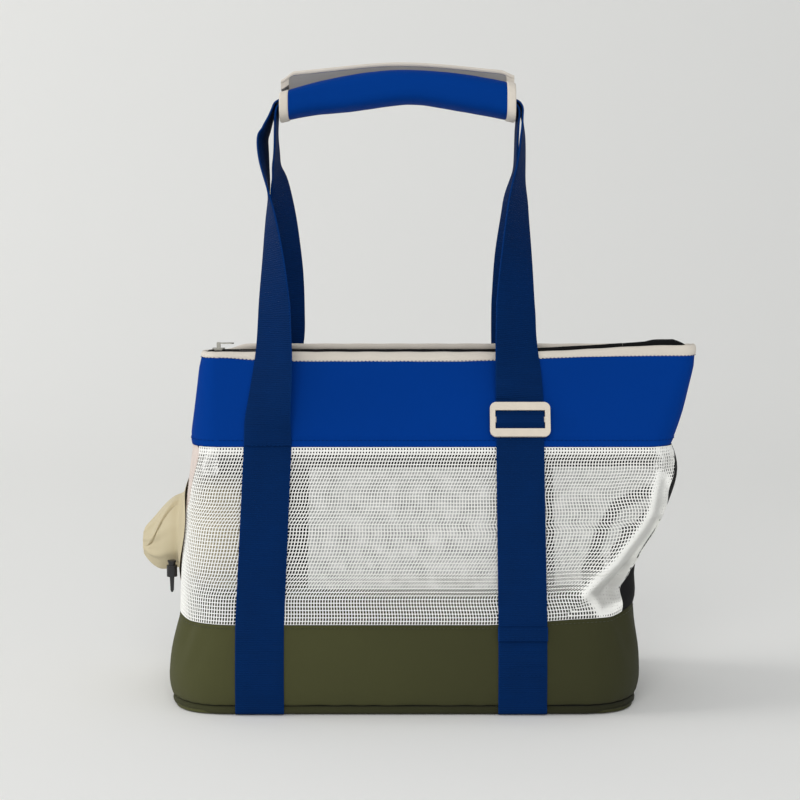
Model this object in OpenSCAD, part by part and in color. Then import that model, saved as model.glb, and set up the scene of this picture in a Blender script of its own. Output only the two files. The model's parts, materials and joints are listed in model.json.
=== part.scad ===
// Soft tote-shaped pet carrier: padded base, mesh walls, zipped mouth, webbing handles with a padded
// wrap, and a drawstring head opening. X runs along the bag, -Y is its front, Z is up, and the base
// stands on Z = 0.

/* [Base] */
// Half width of the padded base at its fullest
base_half_w = 187; // [165:0.5:205]
// Half depth of the padded base at its fullest
base_half_d = 90; // [80:0.5:100]
// Corner radius of the base seen from above
base_corner = 46; // [36:1:52]
// Height of the base wall's seam above the floor
base_h = 70; // [60:1:85]
// How much higher that seam climbs at the right end
base_climb = 8; // [0:1:12]
// How far the base wall pulls in at its top and bottom edges
base_crown = 7; // [3:0.5:10]
// Thickness of the padded base wall
base_wall_t = 7; // [5:0.5:10]
// Thickness of the bottom panel
bottom_t = 3; // [2.6:0.2:5]
// Height of the corded seam round the bottom edge
piping_h = 3.6; // [3:0.2:5]
// How far that seam stands out
piping_out = 1.4; // [0.8:0.2:2]
// Thickness of the stiffening board
board_t = 2; // [1:0.5:4]
// Thickness of the loose mat
mat_t = 12; // [8:1:18]
// Free space round the board and the mat
mat_clear = 2; // [1:0.5:5]

/* [Walls] */
// Height of the band's lower edge
band_z = 204; // [180:1:210]
// Height of the mouth's edge
mouth_z = 278; // [262:1:290]
// Left end of the band's lower edge, from the middle of the base
band_left = 171; // [150:1:185]
// Right end of the band's lower edge, from the middle of the base
band_right = 214; // [195:1:225]
// Half depth of the bag at the band's lower edge
band_half_d = 40; // [34:1:48]
// Corner radius at the band's lower edge
band_corner = 24; // [16:1:30]
// Left end of the mouth
mouth_left = 163; // [150:1:175]
// Right end of the mouth
mouth_right = 234; // [215:1:245]
// Half depth of the mouth
mouth_half_d = 14; // [12:0.5:18]
// How far the right end slumps outwards above the base
slump = 13; // [0:1:15]
// Thickness of the mesh and of the single fabric walls
mesh_t = 0.8; // [0.6:0.1:1.5]
// Thickness of the padded band
band_t = 2.2; // [1.2:0.2:3]
// Height of the binding on the mouth's edge
binding_h = 5.4; // [4:0.2:8]
// Thickness of the binding
binding_t = 3.4; // [3:0.2:4.5]

/* [Zip] */
// Width of the closed zip's row of teeth
teeth_w = 5.2; // [4:0.2:7]
// Distance from one tooth to the next
teeth_pitch = 4; // [3:0.5:6]
// Height of the teeth
teeth_h = 2; // [1.6:0.2:2.6]
// Length of the zip slider
slider_l = 10; // [8:0.5:13]
// Length of the zip pull
pull_l = 12.5; // [10:0.5:17]
// How high the pull's pin stands over the slider's plate
bail_h = 3; // [1.9:0.1:4]
// How high the zip's right end stands up
zip_end_h = 9; // [5:1:14]

/* [Webbing] */
// Width of the webbing
webbing_w = 38; // [25:1:40]
// Thickness of the webbing
webbing_t = 1.6; // [1.2:0.1:2]
// Place of the left webbing at the base
left_web_x = -113; // [-120:1:-95]
// Place of the right webbing at the base
right_web_x = 92; // [80:1:100]
// Height of the stitched hem at the end of the adjustable webbing
tail_z = 59; // [45:1:80]
// Height of the folded hem
hem_h = 10; // [8:0.5:14]

/* [Adjuster] */
// Outer width of the three-bar slide
adjuster_w = 48; // [44:0.5:52]
// Outer height of the three-bar slide
adjuster_h = 28; // [24:0.5:32]
// Width of its side bars
adjuster_side = 4.2; // [3:0.2:4.4]
// Height of its upper and lower bars
adjuster_bar = 6.5; // [5:0.5:8]
// Thickness of the slide
adjuster_t = 3.2; // [2.4:0.2:4.5]
// Height of the slide's middle above the floor
adjuster_z = 225; // [216:1:228]

/* [Handle wrap] */
// Length of the padded wrap
wrap_l = 187; // [177:1:188]
// Half depth of the wrap
wrap_half_d = 25.5; // [25:0.5:28]
// Half height of the wrap
wrap_half_h = 15; // [14.5:0.5:18]
// Thickness of the wrap's padding
wrap_t = 4; // [3:0.25:5]
// How much the wrap arches up in its middle
wrap_arch = 11; // [4:1:14]
// Height of the wrap's middle line at its ends
wrap_z = 477; // [470:1:484]
// Width of the binding on the wrap's ends
wrap_binding = 7; // [5:0.5:10]
// Height of the wrap's front top edge as a share of its half height
wrap_press = 0.83; // [0.78:0.01:1]
// How much lower that edge sinks at the wrap's left end
wrap_sink = 0.2; // [0:0.01:0.2]
// How far the wrap's underside hangs left of its middle
wrap_sag = 3.6; // [0:0.2:4]
// How much higher the flap's edge stands near its ends
lip_rise = 4.6; // [0:0.2:6]
// How far the flap's edge stands above the wrap
lip_h = 5; // [4:0.5:9]
// Thickness of the cord in that edge
lip_cord = 3; // [2:0.2:4]

/* [Head opening] */
// Radius of the round opening in the left side
head_r = 40; // [34:1:44]
// Height of its middle
head_z = 130; // [126:1:140]
// How far the drawn collar stands out
collar_out = 36; // [28:1:42]
// Radius of the drawn collar at its fullest
collar_r = 31; // [26:1:34]
// Number of gathers in the collar
gathers = 9; // [6:1:12]
// Radius of the toggle on the drawcord
lock_r = 4.2; // [4:0.2:6]
// Travel of the toggle's button
button_travel = 2.5; // [1.5:0.25:3]

/* [Hidden] */

// Seat between two pieces that touch
seat = 0.3;
// Play between two pieces that slide or turn on each other
play = 0.05;
eps = 0.01;

olive = "#565539";
blue = "#023681";
navy = "#0b2a56";
cream = "#dcd5c8";
ivory = "#cbc0b0";
black = "#15161a";
white = "#eceae4";
beige = "#dbd0b4";
grey = "#aaa8a4";
silver = "#a8a6a0";

// ---- Shape of the bag: its outline at height z, walked by p from 0 to 8 ----
// p 0-1 front, 1-2 right front corner, 2-3 right side, 3-4, 4-5 rear, 5-6, 6-7 left side, 7-8 the last corner
full_z = 25;
top_in = base_crown;
function mix(a, b, t) = a + (b - a) * t;
function crown(z) = base_crown
    * pow(z < full_z ? (full_z - z) / full_z : (z - full_z) / (base_h - full_z), 2);
function wall_t01(z) = (z - base_h) / (band_z - base_h);
function band_t01(z) = (z - band_z) / (mouth_z - band_z);
function left_end(z) = -(z <= base_h ? base_half_w - crown(z)
    : z <= band_z ? mix(base_half_w - top_in, band_left, pow(wall_t01(z), 2))
    : mix(band_left, mouth_left, band_t01(z)));
function right_end(z) = z <= base_h ? base_half_w - crown(z)
    : z <= band_z ? mix(base_half_w - top_in, band_right, wall_t01(z))
        + slump * sin(180 * pow(wall_t01(z), 2.2))
    : mix(band_right, mouth_right, band_t01(z));
function half_d(z) = z <= base_h ? base_half_d - crown(z) * 0.6
    : z <= band_z ? mix(base_half_d - top_in * 0.6, band_half_d, wall_t01(z))
    : mix(band_half_d, mouth_half_d, band_t01(z));
function corner(z) = z <= base_h ? base_corner
    : z <= band_z ? mix(base_corner, band_corner, wall_t01(z))
    : mix(band_corner, mouth_half_d - 1, band_t01(z));
// the seam on top of the base climbs towards the right end
climb_from = 120;
function climb(x) = let (t = min(1, max(0, (x - climb_from) / (base_half_w - climb_from))))
    base_climb * t * t * (3 - 2 * t);
function lift(x, z) = climb(x) * (z < base_h ? z / base_h : max(0, (band_z - z) / (band_z - base_h)));

function outline(z, p, inset) = let (q = (p + 16) % 8, s = floor(q), f = q - s,
        l = left_end(z) + inset, r = right_end(z) - inset, d = half_d(z) - inset,
        c = max(corner(z) - inset, 0.5), a = 90 * f)
    s == 0 ? [l + c + (r - l - 2 * c) * f, -d]
    : s == 1 ? [r - c + c * sin(a), c - d - c * cos(a)]
    : s == 2 ? [r, (c - d) * (1 - 2 * f)]
    : s == 3 ? [r - c + c * cos(a), d - c + c * sin(a)]
    : s == 4 ? [r - c - (r - l - 2 * c) * f, d]
    : s == 5 ? [l + c - c * sin(a), d - c + c * cos(a)]
    : s == 6 ? [l, (d - c) * (1 - 2 * f)]
    : [l + c - c * cos(a), c - d - c * sin(a)];
function on_bag(z, p, inset) = let (q = outline(z, p, inset)) [q.x, q.y, z + lift(q.x, z)];
function steps(a, b, n) = [for (i = [0:n]) mix(a, b, i / n)];
// values of p from p0 to p1 with enough stops round each corner
function walk(p0, p1, fine, coarse) = [for (s = [floor(p0):ceil(p1) - 1])
    let (a = max(p0, s), b = min(p1, s + 1), n = s % 2 == 0 ? coarse : fine)
    for (i = [0:n - 1]) mix(a, b, i / n), p1];

// ---- Solids swept from two grids of points, outer and inner ----
function flat(rows) = [for (r = rows) each r];
function grid_faces(m, n, at, flip, wrap) = [for (i = [0:m - 2], j = [0:n - (wrap ? 1 : 2)])
    let (k = (j + 1) % n, a = at + i * n + j, b = at + i * n + k, c = a + n, d = b + n)
    each flip ? [[a, c, b], [b, c, d]] : [[a, b, c], [b, d, c]]];
// a closed sheet between the grids outer and inner, rows running upwards and columns counter-clockwise
module sheet_between(outer, inner) {
    m = len(outer);
    n = len(outer[0]);
    h = m * n;
    polyhedron(concat(flat(outer), flat(inner)), concat(
        grid_faces(m, n, 0, true, false), grid_faces(m, n, h, false, false),
        [for (j = [0:n - 2]) each [[j, j + 1, h + j], [j + 1, h + j + 1, h + j]]],
        [for (j = [0:n - 2]) let (a = (m - 1) * n + j) each [[a, h + a, a + 1], [a + 1, h + a, h + a + 1]]],
        [for (i = [0:m - 2]) let (a = i * n) each [[a, h + a, a + n], [a + n, h + a, h + a + n]]],
        [for (i = [0:m - 2]) let (a = i * n + n - 1) each [[a, a + n, h + a], [a + n, h + a + n, h + a]]]));
}
// a closed wall, ring after ring
module ring_between(outer, inner) {
    m = len(outer);
    n = len(outer[0]);
    h = m * n;
    polyhedron(concat(flat(outer), flat(inner)), concat(
        grid_faces(m, n, 0, true, true), grid_faces(m, n, h, false, true),
        [for (j = [0:n - 1]) let (k = (j + 1) % n) each [[j, k, h + j], [k, h + k, h + j]]],
        [for (j = [0:n - 1]) let (k = (j + 1) % n, a = (m - 1) * n)
            each [[a + j, h + a + j, a + k], [a + k, h + a + j, h + a + k]]]));
}
// a wall of the bag between heights zs and perimeter values p0(z) and p1(z)
module wall(zs, from, to, out, t, fine = 3, coarse = 6) {
    sheet_between(
        [for (z = zs) [for (p = walk(from(z), to(z), fine, coarse)) on_bag(z, p, out)]],
        [for (z = zs) [for (p = walk(from(z), to(z), fine, coarse)) on_bag(z, p, out + t)]]);
}
module plan(z, inset) {
    l = left_end(z) + inset;
    r = right_end(z) - inset;
    d = half_d(z) - inset;
    c = corner(z) - inset;
    translate([l + c, -d]) square([r - l - 2 * c, 2 * d]);
    translate([l, c - d]) square([r - l, 2 * (d - c)]);
    for (x = [l + c, r - c], y = [c - d, d - c]) translate([x, y]) circle(r = c, $fn = 64);
}

// ---- Webbing: a flat strip swept along points [x, y, z, turn], turn being its twist about Z ----
function unit(v) = v / norm(v);
function spline(a, b, c, d, t) = 0.5 * (2 * b + (c - a) * t + (2 * a - 5 * b + 4 * c - d) * t * t
    + (3 * b - a - 3 * c + d) * t * t * t);
function smooth(pts, n) = let (m = len(pts) - 1) [for (i = [0:m - 1], k = [0:n - 1])
    spline(pts[max(i - 1, 0)], pts[i], pts[i + 1], pts[min(i + 2, m)], k / n), pts[m]];
function xyz(p) = [p[0], p[1], p[2]];
// each end is cut square to `cut`, or to the strip's own run where cut is undef
function strip_ring(pts, i, w, t, side, cut) = let (m = len(pts) - 1,
        way = xyz(pts[min(i + 1, m)]) - xyz(pts[max(i - 1, 0)]),
        run = cut && (i == 0 || i == m) ? cut * sign(way * cut) : unit(way),
        raw = [cos(pts[i][3]), -side * sin(pts[i][3]), 0],
        across = unit(raw - (raw * run) * run), up = cross(run, across))
    [for (c = [[-1, -1], [1, -1], [1, 1], [-1, 1]]) xyz(pts[i]) + across * c[0] * w / 2 + up * c[1] * t / 2];
module strip(pts, w = webbing_w, t = webbing_t, side = 1, cut = [0, 0, 1]) {
    rings = [for (i = [0:len(pts) - 1]) strip_ring(pts, i, w, t, side, cut)];
    last = 4 * (len(pts) - 1);
    polyhedron(flat(rings), concat([[0, 1, 2], [0, 2, 3]], grid_faces(len(pts), 4, 0, true, true),
        [[last, last + 2, last + 1], [last, last + 3, last + 2]]));
}
// the same points seen from behind, for the rear webbing
function behind(pts) = [for (p = pts) [p[0], -p[1], p[2], p[3]]];

// distance of the webbing's middle from the wall: one layer, and the adjustable layer over it
layer1 = seat + webbing_t / 2;
layer2 = layer1 + webbing_t + seat;
sewn_top = band_z + 4;
web_lean = 4;
function web_x(x, z) = x + (x < 0 ? web_lean * max(0, (z - base_h) / (band_z - base_h)) : 0);
function front_run(x, top, bottom, off) = [for (z = concat([top], [for (k = [0:6])
        let (z = mix(band_z, base_h, k / 6)) if (z < top - 1 && z > bottom + 1) z],
        [for (z = [55, 40, full_z, 14]) if (z > bottom + 1) z], [bottom]))
    [web_x(x, z), -(half_d(z) + off), z + lift(x, z), 0]];
module sewn_webbing(x, top_front, top_rear) {
    out = half_d(piping_h + bottom_t) + piping_out + layer1 + 0.2;
    turn = [[x, -out, bottom_t + piping_h, 0], [x, -out + 0.5, 2.4, 0], [x, -out + 2.2, 1.1, 0],
        [x, -out + 4.6, webbing_t / 2 + play, 0]];
    front = concat(front_run(x, top_front, 10, layer1), turn);
    rear = concat(front_run(x, top_rear, 10, layer1), turn);
    flip = [for (i = [len(rear) - 1:-1:0]) [rear[i][0], -rear[i][1], rear[i][2], 0]];
    strip(concat(front, flip));
}

// ---- Base ----
module base_bottom() {
    color(olive) difference() {
        linear_extrude(bottom_t) plan(0, 0);
        for (x = [left_web_x, right_web_x])
            translate([x - webbing_w / 2 - 0.4, -base_half_d - 5, -1])
                cube([webbing_w + 0.8, 2 * base_half_d + 10, 1 + webbing_t + 0.3]);
    }
}
piping_z = bottom_t + 0.2;
wall_z = piping_z + piping_h + 0.2;
module base_piping() {
    color(olive) translate([0, 0, piping_z]) linear_extrude(piping_h) difference() {
        plan(piping_z, -piping_out);
        plan(piping_z, base_wall_t - 1);
    }
}
module base_wall() {
    zs = [wall_z, 13, full_z, 38, 52, base_h];
    color(olive) ring_between(
        [for (z = zs) [for (j = [0:8 * 5 - 1]) on_bag(z, j / 5, 0)]],
        [for (z = zs) [for (j = [0:8 * 5 - 1]) on_bag(z, j / 5, base_wall_t)]]);
}
board_z = bottom_t + seat;
module base_board() {
    color("#3a3a38") translate([0, 0, board_z]) linear_extrude(board_t)
        plan(wall_z, base_wall_t + mat_clear);
}
module base_mat() {
    color("#b9b4a6") translate([0, 0, board_z + board_t + seat]) linear_extrude(mat_t)
        plan(wall_z, base_wall_t + mat_clear);
}

// ---- Walls ----
// seams between the mesh and the side panels, further round the left corner at the top than at the base
seam_gap = 0.005;
function left_seam(z) = mix(7.2, 7.55, wall_t01(z));
// the right seam runs round the corner where the mesh folds over it, and shows the side panel above and
// below: pairs of [height, place on the outline]
seam_places = [[70, 1.55], [88, 1.57], [98, 1.72], [108, 1.95], [138, 1.97], [150, 1.82], [169, 1.66],
    [190, 1.8], [204, 1.88]];
function right_seam(z) = lookup(z, seam_places);
mesh_zs = steps(base_h + seat + 0.2, band_z - 0.2, 7);
module front_mesh() {
    color(white) wall(mesh_zs, function (z) left_seam(z) - 8 + seam_gap,
        function (z) right_seam(z) - seam_gap, 0.2, mesh_t, 3, 8);
}
module rear_mesh() {
    color(white) wall(mesh_zs, function (z) 5 - right_seam(z) + seam_gap,
        function (z) 13 - left_seam(z) - seam_gap, 0.2, mesh_t, 3, 8);
}
module left_side_panel() {
    color(cream) difference() {
        wall(mesh_zs, function (z) 13 - left_seam(z) + seam_gap, function (z) left_seam(z) - seam_gap,
            0.2, mesh_t, 3, 3);
        translate([left_end(head_z) - 20, 0, head_z]) rotate([0, 90, 0])
            cylinder(r = head_r, h = 40, $fn = 64);
    }
}
module right_side_panel() {
    color(black) wall(mesh_zs, function (z) right_seam(z) + seam_gap,
        function (z) 5 - right_seam(z) - seam_gap, 0.2, mesh_t, 2, 3);
}
lining_in = 0.2 + mesh_t + seat;
module rear_lining() {
    color(black) wall(mesh_zs, function (z) 4, function (z) 5, lining_in, mesh_t, 3, 8);
}
// the pockets hang inside the front mesh; their edges are places along the front
pocket_top = 188;
pocket_bottom = 96;
pocket_t = 1.2;
function front_p(x, z) = let (l = left_end(z), r = right_end(z), c = corner(z))
    x <= r - c ? (x - l - c) / (r - l - 2 * c) : 1 + asin((x - r + c) / c) / 90;
module pocket(x0, x1, inset) {
    zs = steps(pocket_bottom, pocket_top, 3);
    color(cream) sheet_between(
        [for (z = zs) [for (p = steps(front_p(x0, z), front_p(x1, z), 6)) on_bag(z, p, inset)]],
        [for (z = zs) [for (p = steps(front_p(x0, z), front_p(x1, z), 6)) on_bag(z, p, inset + pocket_t)]]);
}
large_pocket_x = [-76, 112];
small_pocket_x = [118, 142];
module large_pocket() pocket(large_pocket_x[0], large_pocket_x[1], lining_in);
// the smaller one follows the wall where it starts to climb and turn, so it hangs a little further in
module small_pocket() pocket(small_pocket_x[0], small_pocket_x[1], lining_in + 0.35);
band_top = mouth_z - binding_h - 0.2;
module front_band() {
    color(blue) wall([band_z, (band_z + band_top) / 2, band_top], function (z) -1.5 + seam_gap,
        function (z) 2.5 - seam_gap, 0, band_t, 4, 6);
}
module rear_band() {
    color(blue) wall([band_z, (band_z + band_top) / 2, band_top], function (z) 2.5 + seam_gap,
        function (z) 6.5 - seam_gap, 0, band_t, 4, 6);
}
binding_out = 0.8;
module front_binding() {
    color(cream) wall([mouth_z - binding_h, mouth_z], function (z) -1.5 + seam_gap,
        function (z) 2.5 - seam_gap, -binding_out, binding_t, 5, 5);
}
module rear_binding() {
    color(cream) wall([mouth_z - binding_h, mouth_z], function (z) 2.5 + seam_gap,
        function (z) 6.5 - seam_gap, -binding_out, binding_t, 5, 5);
}

// ---- Zip ----
tape_t = 0.8;
tape_z = mouth_z - tape_t / 2;
tape_edge = mouth_half_d + binding_out - binding_t - seat - tape_t / 2;
// half of the space between the two rows' rails, which the teeth bridge
rail_gap = 1.2;
slider_y = 4.2;
plate_t = 1;
post_r = 0.9;
post_x = 2.2 - slider_l / 2;
park_left = -mouth_left + 12;
flap_left = park_left + pull_l + 4;
raised_right = mouth_right - 5;
raised_left = raised_right - 28;
flap_right = raised_left - pull_l - slider_l - 2;
park_right = flap_right + slider_l / 2 + 1;
module tape(side, x0, x1) {
    inner = teeth_w / 2 + play;
    translate([x0, side > 0 ? inner : -tape_edge, tape_z - tape_t / 2])
        cube([x1 - x0, tape_edge - inner, tape_t]);
}
module front_zip_tape() color(black) tape(-1, flap_left, flap_right);
module rear_zip_tape() color(black) tape(1, flap_left, flap_right);
tooth_w = teeth_pitch / 2 - 0.5;
// one row of teeth as a single comb, whose rail is sewn along the tape's edge
module teeth(side) {
    n = floor((flap_right - flap_left - teeth_pitch) / teeth_pitch);
    shift = side > 0 ? teeth_pitch / 2 : 0;
    color("#1d1d20") translate([flap_left, 0, tape_z - teeth_h / 2]) linear_extrude(teeth_h)
        scale([1, side]) union() {
            translate([0, rail_gap]) square([flap_right - flap_left, teeth_w / 2 - rail_gap]);
            for (i = [0:n - 1]) translate([1 + shift + i * teeth_pitch, seat - rail_gap])
                square([tooth_w, 2 * rail_gap]);
        }
}
module front_zip_teeth() teeth(-1);
module rear_zip_teeth() teeth(1);
// the zip's fixed ends, sewn across the mouth
tab_half = mouth_half_d + binding_out - binding_t - seat;
module chain(x0, x1, parked) {
    translate([0, 0, tape_z - tape_t / 2]) linear_extrude(tape_t) difference() {
        intersection() {
            plan(mouth_z, binding_t - binding_out + seat);
            translate([x0, -tab_half]) square([x1 - x0, 2 * tab_half]);
        }
        // its two halves part round the slider's post
        translate([x0 - 1, -rail_gap]) square([parked + post_x + 2 * post_r - x0 + 1, 2 * rail_gap]);
    }
}
module zip_left_tab() {
    color(black) chain(park_left - slider_l / 2 - 1.5, flap_left - 0.3, park_left);
}
module zip_right_tab() {
    color(black) {
        chain(flap_right + 0.3, raised_left, park_right);
        // the end of the tape stands up in a rounded fold
        rotate([90, 0, 0]) translate([raised_left, tape_z - tape_t / 2, -3.2]) linear_extrude(6.4) union() {
            square([raised_right - raised_left, tape_t]);
            difference() {
                square([raised_right - raised_left - 4, zip_end_h]);
                translate([-8, zip_end_h + 3]) circle(r = zip_end_h + 3 - tape_t, $fn = 48);
            }
            translate([raised_right - raised_left - 4 - zip_end_h / 2, zip_end_h / 2])
                circle(r = zip_end_h / 2, $fn = 48);
        }
    }
}
// slider: two plates with turned edges, joined by the post that parts the chain, and a pull on the bail's pin
pin_r = 0.7;
slider_z = tape_z;
plate_gap = teeth_h / 2 + 0.5;
bail_z = slider_z + plate_gap + plate_t + bail_h;
module slider_plate() {
    linear_extrude(plate_t) union() {
        translate([-slider_l / 2 + 2, -slider_y]) square([slider_l - 4, 2 * slider_y]);
        for (x = [-slider_l / 2 + 2, slider_l / 2 - 2], y = [-slider_y + 2, slider_y - 2])
            translate([x, y]) circle(r = 2, $fn = 32);
        translate([-slider_l / 2, -slider_y + 2]) square([slider_l, 2 * slider_y - 4]);
    }
}
module zip_slider() {
    lip = plate_gap - tape_t / 2 - seat;
    color(silver) translate([park_left, 0, slider_z]) {
        translate([0, 0, plate_gap]) slider_plate();
        translate([0, 0, -plate_gap - plate_t]) slider_plate();
        translate([post_x, 0, -plate_gap - eps]) cylinder(r = post_r, h = 2 * (plate_gap + eps), $fn = 32);
        for (y = [-slider_y, slider_y - 1]) {
            translate([-slider_l / 2 + 2, y, plate_gap - lip]) cube([slider_l - 4, 1, lip + eps]);
            translate([-slider_l / 2 + 2, y, -plate_gap - eps]) cube([slider_l - 4, 1, lip + eps]);
        }
        for (y = [-2.4, 1.6]) translate([-1.4, y, plate_gap + plate_t - eps]) cube([2.8, 0.8, bail_h + 1.5]);
        translate([0, -2.4, bail_z - slider_z]) rotate([-90, 0, 0]) cylinder(r = pin_r, h = 4.8, $fn = 32);
    }
}
module zip_pull() {
    eye = pin_r + play;
    color(silver) translate([park_left, 0, bail_z]) {
        difference() {
            union() {
                translate([0, -1.4, 0]) rotate([-90, 0, 0]) cylinder(r = eye + 0.8, h = 2.8, $fn = 32);
                translate([0.9, -1.4, 0.3]) cube([4, 2.8, 1]);
            }
            translate([0, -2, 0]) rotate([-90, 0, 0]) cylinder(r = eye, h = 4, $fn = 32);
        }
        translate([0, 0, 0.3]) linear_extrude(1) difference() {
            union() {
                translate([4, -2.6]) square([pull_l - 6.6, 5.2]);
                translate([pull_l - 2.6, 0]) circle(r = 2.6, $fn = 32);
            }
            translate([pull_l - 3.4, 0]) circle(r = 1.3, $fn = 32);
        }
    }
}

// ---- Webbing ----
module left_webbing() color(navy) sewn_webbing(left_web_x, sewn_top, adjuster_z + 12);
module right_webbing() color(navy) sewn_webbing(right_web_x, adjuster_z + 12, sewn_top);
root_z = adjuster_z + adjuster_h / 2 + 4;
module tail(x, side) {
    run = front_run(x, root_z - seat, tail_z, layer2);
    hem = [for (z = [tail_z + hem_h, tail_z + hem_h / 2, tail_z])
        [x, -(half_d(z) + layer2 + webbing_t - 0.2), z, 0]];
    color(navy) {
        strip(side < 0 ? run : behind(run), side = -side);
        strip(side < 0 ? hem : behind(hem), w = webbing_w + 0.6, side = -side);
    }
}
module front_tail() tail(right_web_x, -1);
module rear_tail() tail(left_web_x, 1);

// Routes of the webbing above the sewn runs: hand-set points of [x, distance from the middle, z, turn].
// The turn is 0 or 180 where the webbing lies flat on the bag, and 90 where its width runs front to rear.
free_z = 308;
front_left_root = [[web_x(left_web_x, sewn_top), -half_d(sewn_top) - layer1, sewn_top + seat, 0],
    [-109, -37.7, 225, 12], [-107.5, -35.2, 241, 22], [-105.5, -31, 262, 31], [-104.4, -28.6, 278, 37],
    [-104, -27.6, 292, 41], [-103.8, -27, free_z - seat, 44]];
front_right_root = [[right_web_x, -half_d(root_z) - layer2, root_z, 180], [91, -26.8, 262, 168],
    [89.8, -25.3, 278, 157], [89, -26, 292, 152], [88.8, -26.5, free_z - seat, 149]];
rear_left_root = [[web_x(left_web_x, root_z), -half_d(root_z) - layer2, root_z, 0], [-106, -27.4, 262, 14],
    [-101, -26.4, 278, 28], [-98.5, -26.4, 292, 34], [-97.5, -26.5, free_z - seat, 40]];
rear_right_root = [[right_web_x, -half_d(sewn_top) - layer1, sewn_top + seat, 180], [91.3, -37.3, 225, 170],
    [90.5, -34, 241, 162], [89.5, -30.4, 262, 155], [88.8, -28.4, 278, 150], [88.3, -27.2, 292, 148],
    [88, -26.5, free_z - seat, 146]];
wrap_left = -99;
wrap_right = wrap_left + wrap_l;
wrap_mid = (wrap_left + wrap_right) / 2;
function arch(x) = wrap_z + wrap_arch * (1 - pow((x - wrap_mid) / (wrap_l / 2), 2));
web_y = wrap_half_d - wrap_t - webbing_w / 2 - 0.8;
outer_web = 2.4;
inner_web = outer_web - webbing_t - seat - 0.1;
// the loops lie flat in the wrap between these places
in_wrap_x = [-88, 77];
function in_wrap(up) = [for (x = steps(in_wrap_x[0], in_wrap_x[1], 8)) [x, -web_y, arch(x) + up, 90]];
front_loop = concat([[-103.8, -27, free_z, 44], [-104.1, -24.5, 322, 48], [-105, -20.5, 352, 60],
    [-107, -16, 384, 74], [-109.3, -12, 408, 88], [-112.6, -7.5, 430, 97], [-113.4, -4, 447, 99],
    [-110.5, -2.8, 456, 96], [-107, -2, 465, 92], [-105, -web_y, 471, 90], [-103, -web_y, 475.6, 90],
    [-99.5, -web_y, 478.2, 90], [-95, -web_y, 479.4, 90]],
    in_wrap(outer_web),
    [[84, -web_y, 479.4, 90], [88.5, -web_y, 478.2, 90], [92, -web_y, 475.6, 90], [93.8, -web_y, 471, 90],
    [94.6, -2.2, 464, 93], [95, -3, 456, 96], [94.8, -4, 447, 99], [93.9, -7, 431, 102],
    [92.2, -10, 415, 108], [91.2, -12.5, 400, 116], [90.4, -15, 384, 122],
    [89.5, -19.5, 352, 134], [88.7, -24, 322, 145], [88.8, -26.5, free_z, 149]]);
rear_loop = concat([[-97.5, -26.5, free_z, 40], [-97.2, -24.4, 330, 44], [-97.5, -21, 352, 50],
    [-99, -16.5, 384, 60], [-101.5, -12, 412, 72], [-103.6, -9.6, 425, 83], [-103.6, -7.4, 436, 87],
    [-103.4, -4, 448, 90], [-102.8, -0.6, 460, 90], [-102.2, web_y, 468, 90], [-101.2, web_y, 472.3, 90],
    [-99, web_y, 475.2, 90],
    [-96, web_y, 476.6, 90]],
    in_wrap(inner_web),
    [[85, web_y, 476.6, 90], [88, web_y, 475.2, 90], [90.2, web_y, 472.3, 90], [91, web_y, 468, 90],
    [90.6, 0, 460, 90], [90.3, -1.8, 452, 90], [90.2, -4.4, 444, 90], [90, -7.5, 431, 90],
    [89.4, -9.6, 421, 91], [87.6, -12, 409, 97], [87, -14, 398, 105],
    [87.2, -16, 384, 113], [87.6, -20, 352, 132], [87.8, -24.3, 322, 142], [88, -26.5, free_z, 146]]);
module front_strap_roots() {
    color(navy) {
        strip(smooth(front_left_root, 2));
        strip(smooth(front_right_root, 2));
    }
}
module rear_strap_roots() {
    color(navy) {
        strip(smooth(behind(rear_left_root), 2), side = -1);
        strip(smooth(behind(rear_right_root), 2), side = -1);
    }
}
module front_handle() color(navy) strip(smooth(front_loop, 2));
// inside the wrap both loops lie one over the other, so the rear one is set forward to match
rear_pts = [for (p = behind(rear_loop)) abs(p[1]) == web_y ? [p[0], -web_y, p[2], p[3]] : p];
module rear_handle() color(navy) strip(smooth(rear_pts, 2), side = -1);

// ---- Adjusters: three-bar slides with the webbing over their middle bars ----
lean = atan((band_half_d - mouth_half_d) / (mouth_z - band_z));
bar_h = 4.4;
bar_t = adjuster_t - 1;
module on_tail(x, side) {
    translate([x, side * (half_d(adjuster_z) + layer2), adjuster_z])
        rotate([90 - lean, 0, side > 0 ? 180 : 0]) translate([0, 0, webbing_t / 2 + seat]) children();
}
module slide_frame() {
    r = 5;
    w = adjuster_w / 2;
    h = adjuster_h / 2;
    linear_extrude(adjuster_t) difference() {
        union() {
            translate([-w + r, -h]) square([2 * (w - r), 2 * h]);
            translate([-w, -h + r]) square([2 * w, 2 * (h - r)]);
            for (x = [-w + r, w - r], y = [-h + r, h - r]) translate([x, y]) circle(r = r, $fn = 32);
        }
        translate([-w + adjuster_side, -h + adjuster_bar])
            square([2 * (w - adjuster_side), 2 * (h - adjuster_bar)]);
    }
    translate([-w + 1, -bar_h / 2, 0]) cube([2 * w - 2, bar_h, bar_t]);
}
module adjuster_web() {
    foot = adjuster_h / 2 - adjuster_bar - 1;
    top = bar_t + seat + webbing_t / 2;
    low = webbing_t / 2;
    half = [[0, foot, low, 0], [0, bar_h / 2 + 2, (low + top) / 2, 0], [0, bar_h / 2 + 0.5, top, 0],
        [0, 0, top + 0.3, 0]];
    strip(concat(half, [for (i = [2:-1:0]) [0, -half[i][1], half[i][2], 0]]), cut = undef);
}
adjuster_x = web_x(left_web_x, adjuster_z);
module front_adjuster() color(ivory) on_tail(right_web_x, -1) slide_frame();
module rear_adjuster() color(ivory) on_tail(adjuster_x, 1) slide_frame();
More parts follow.
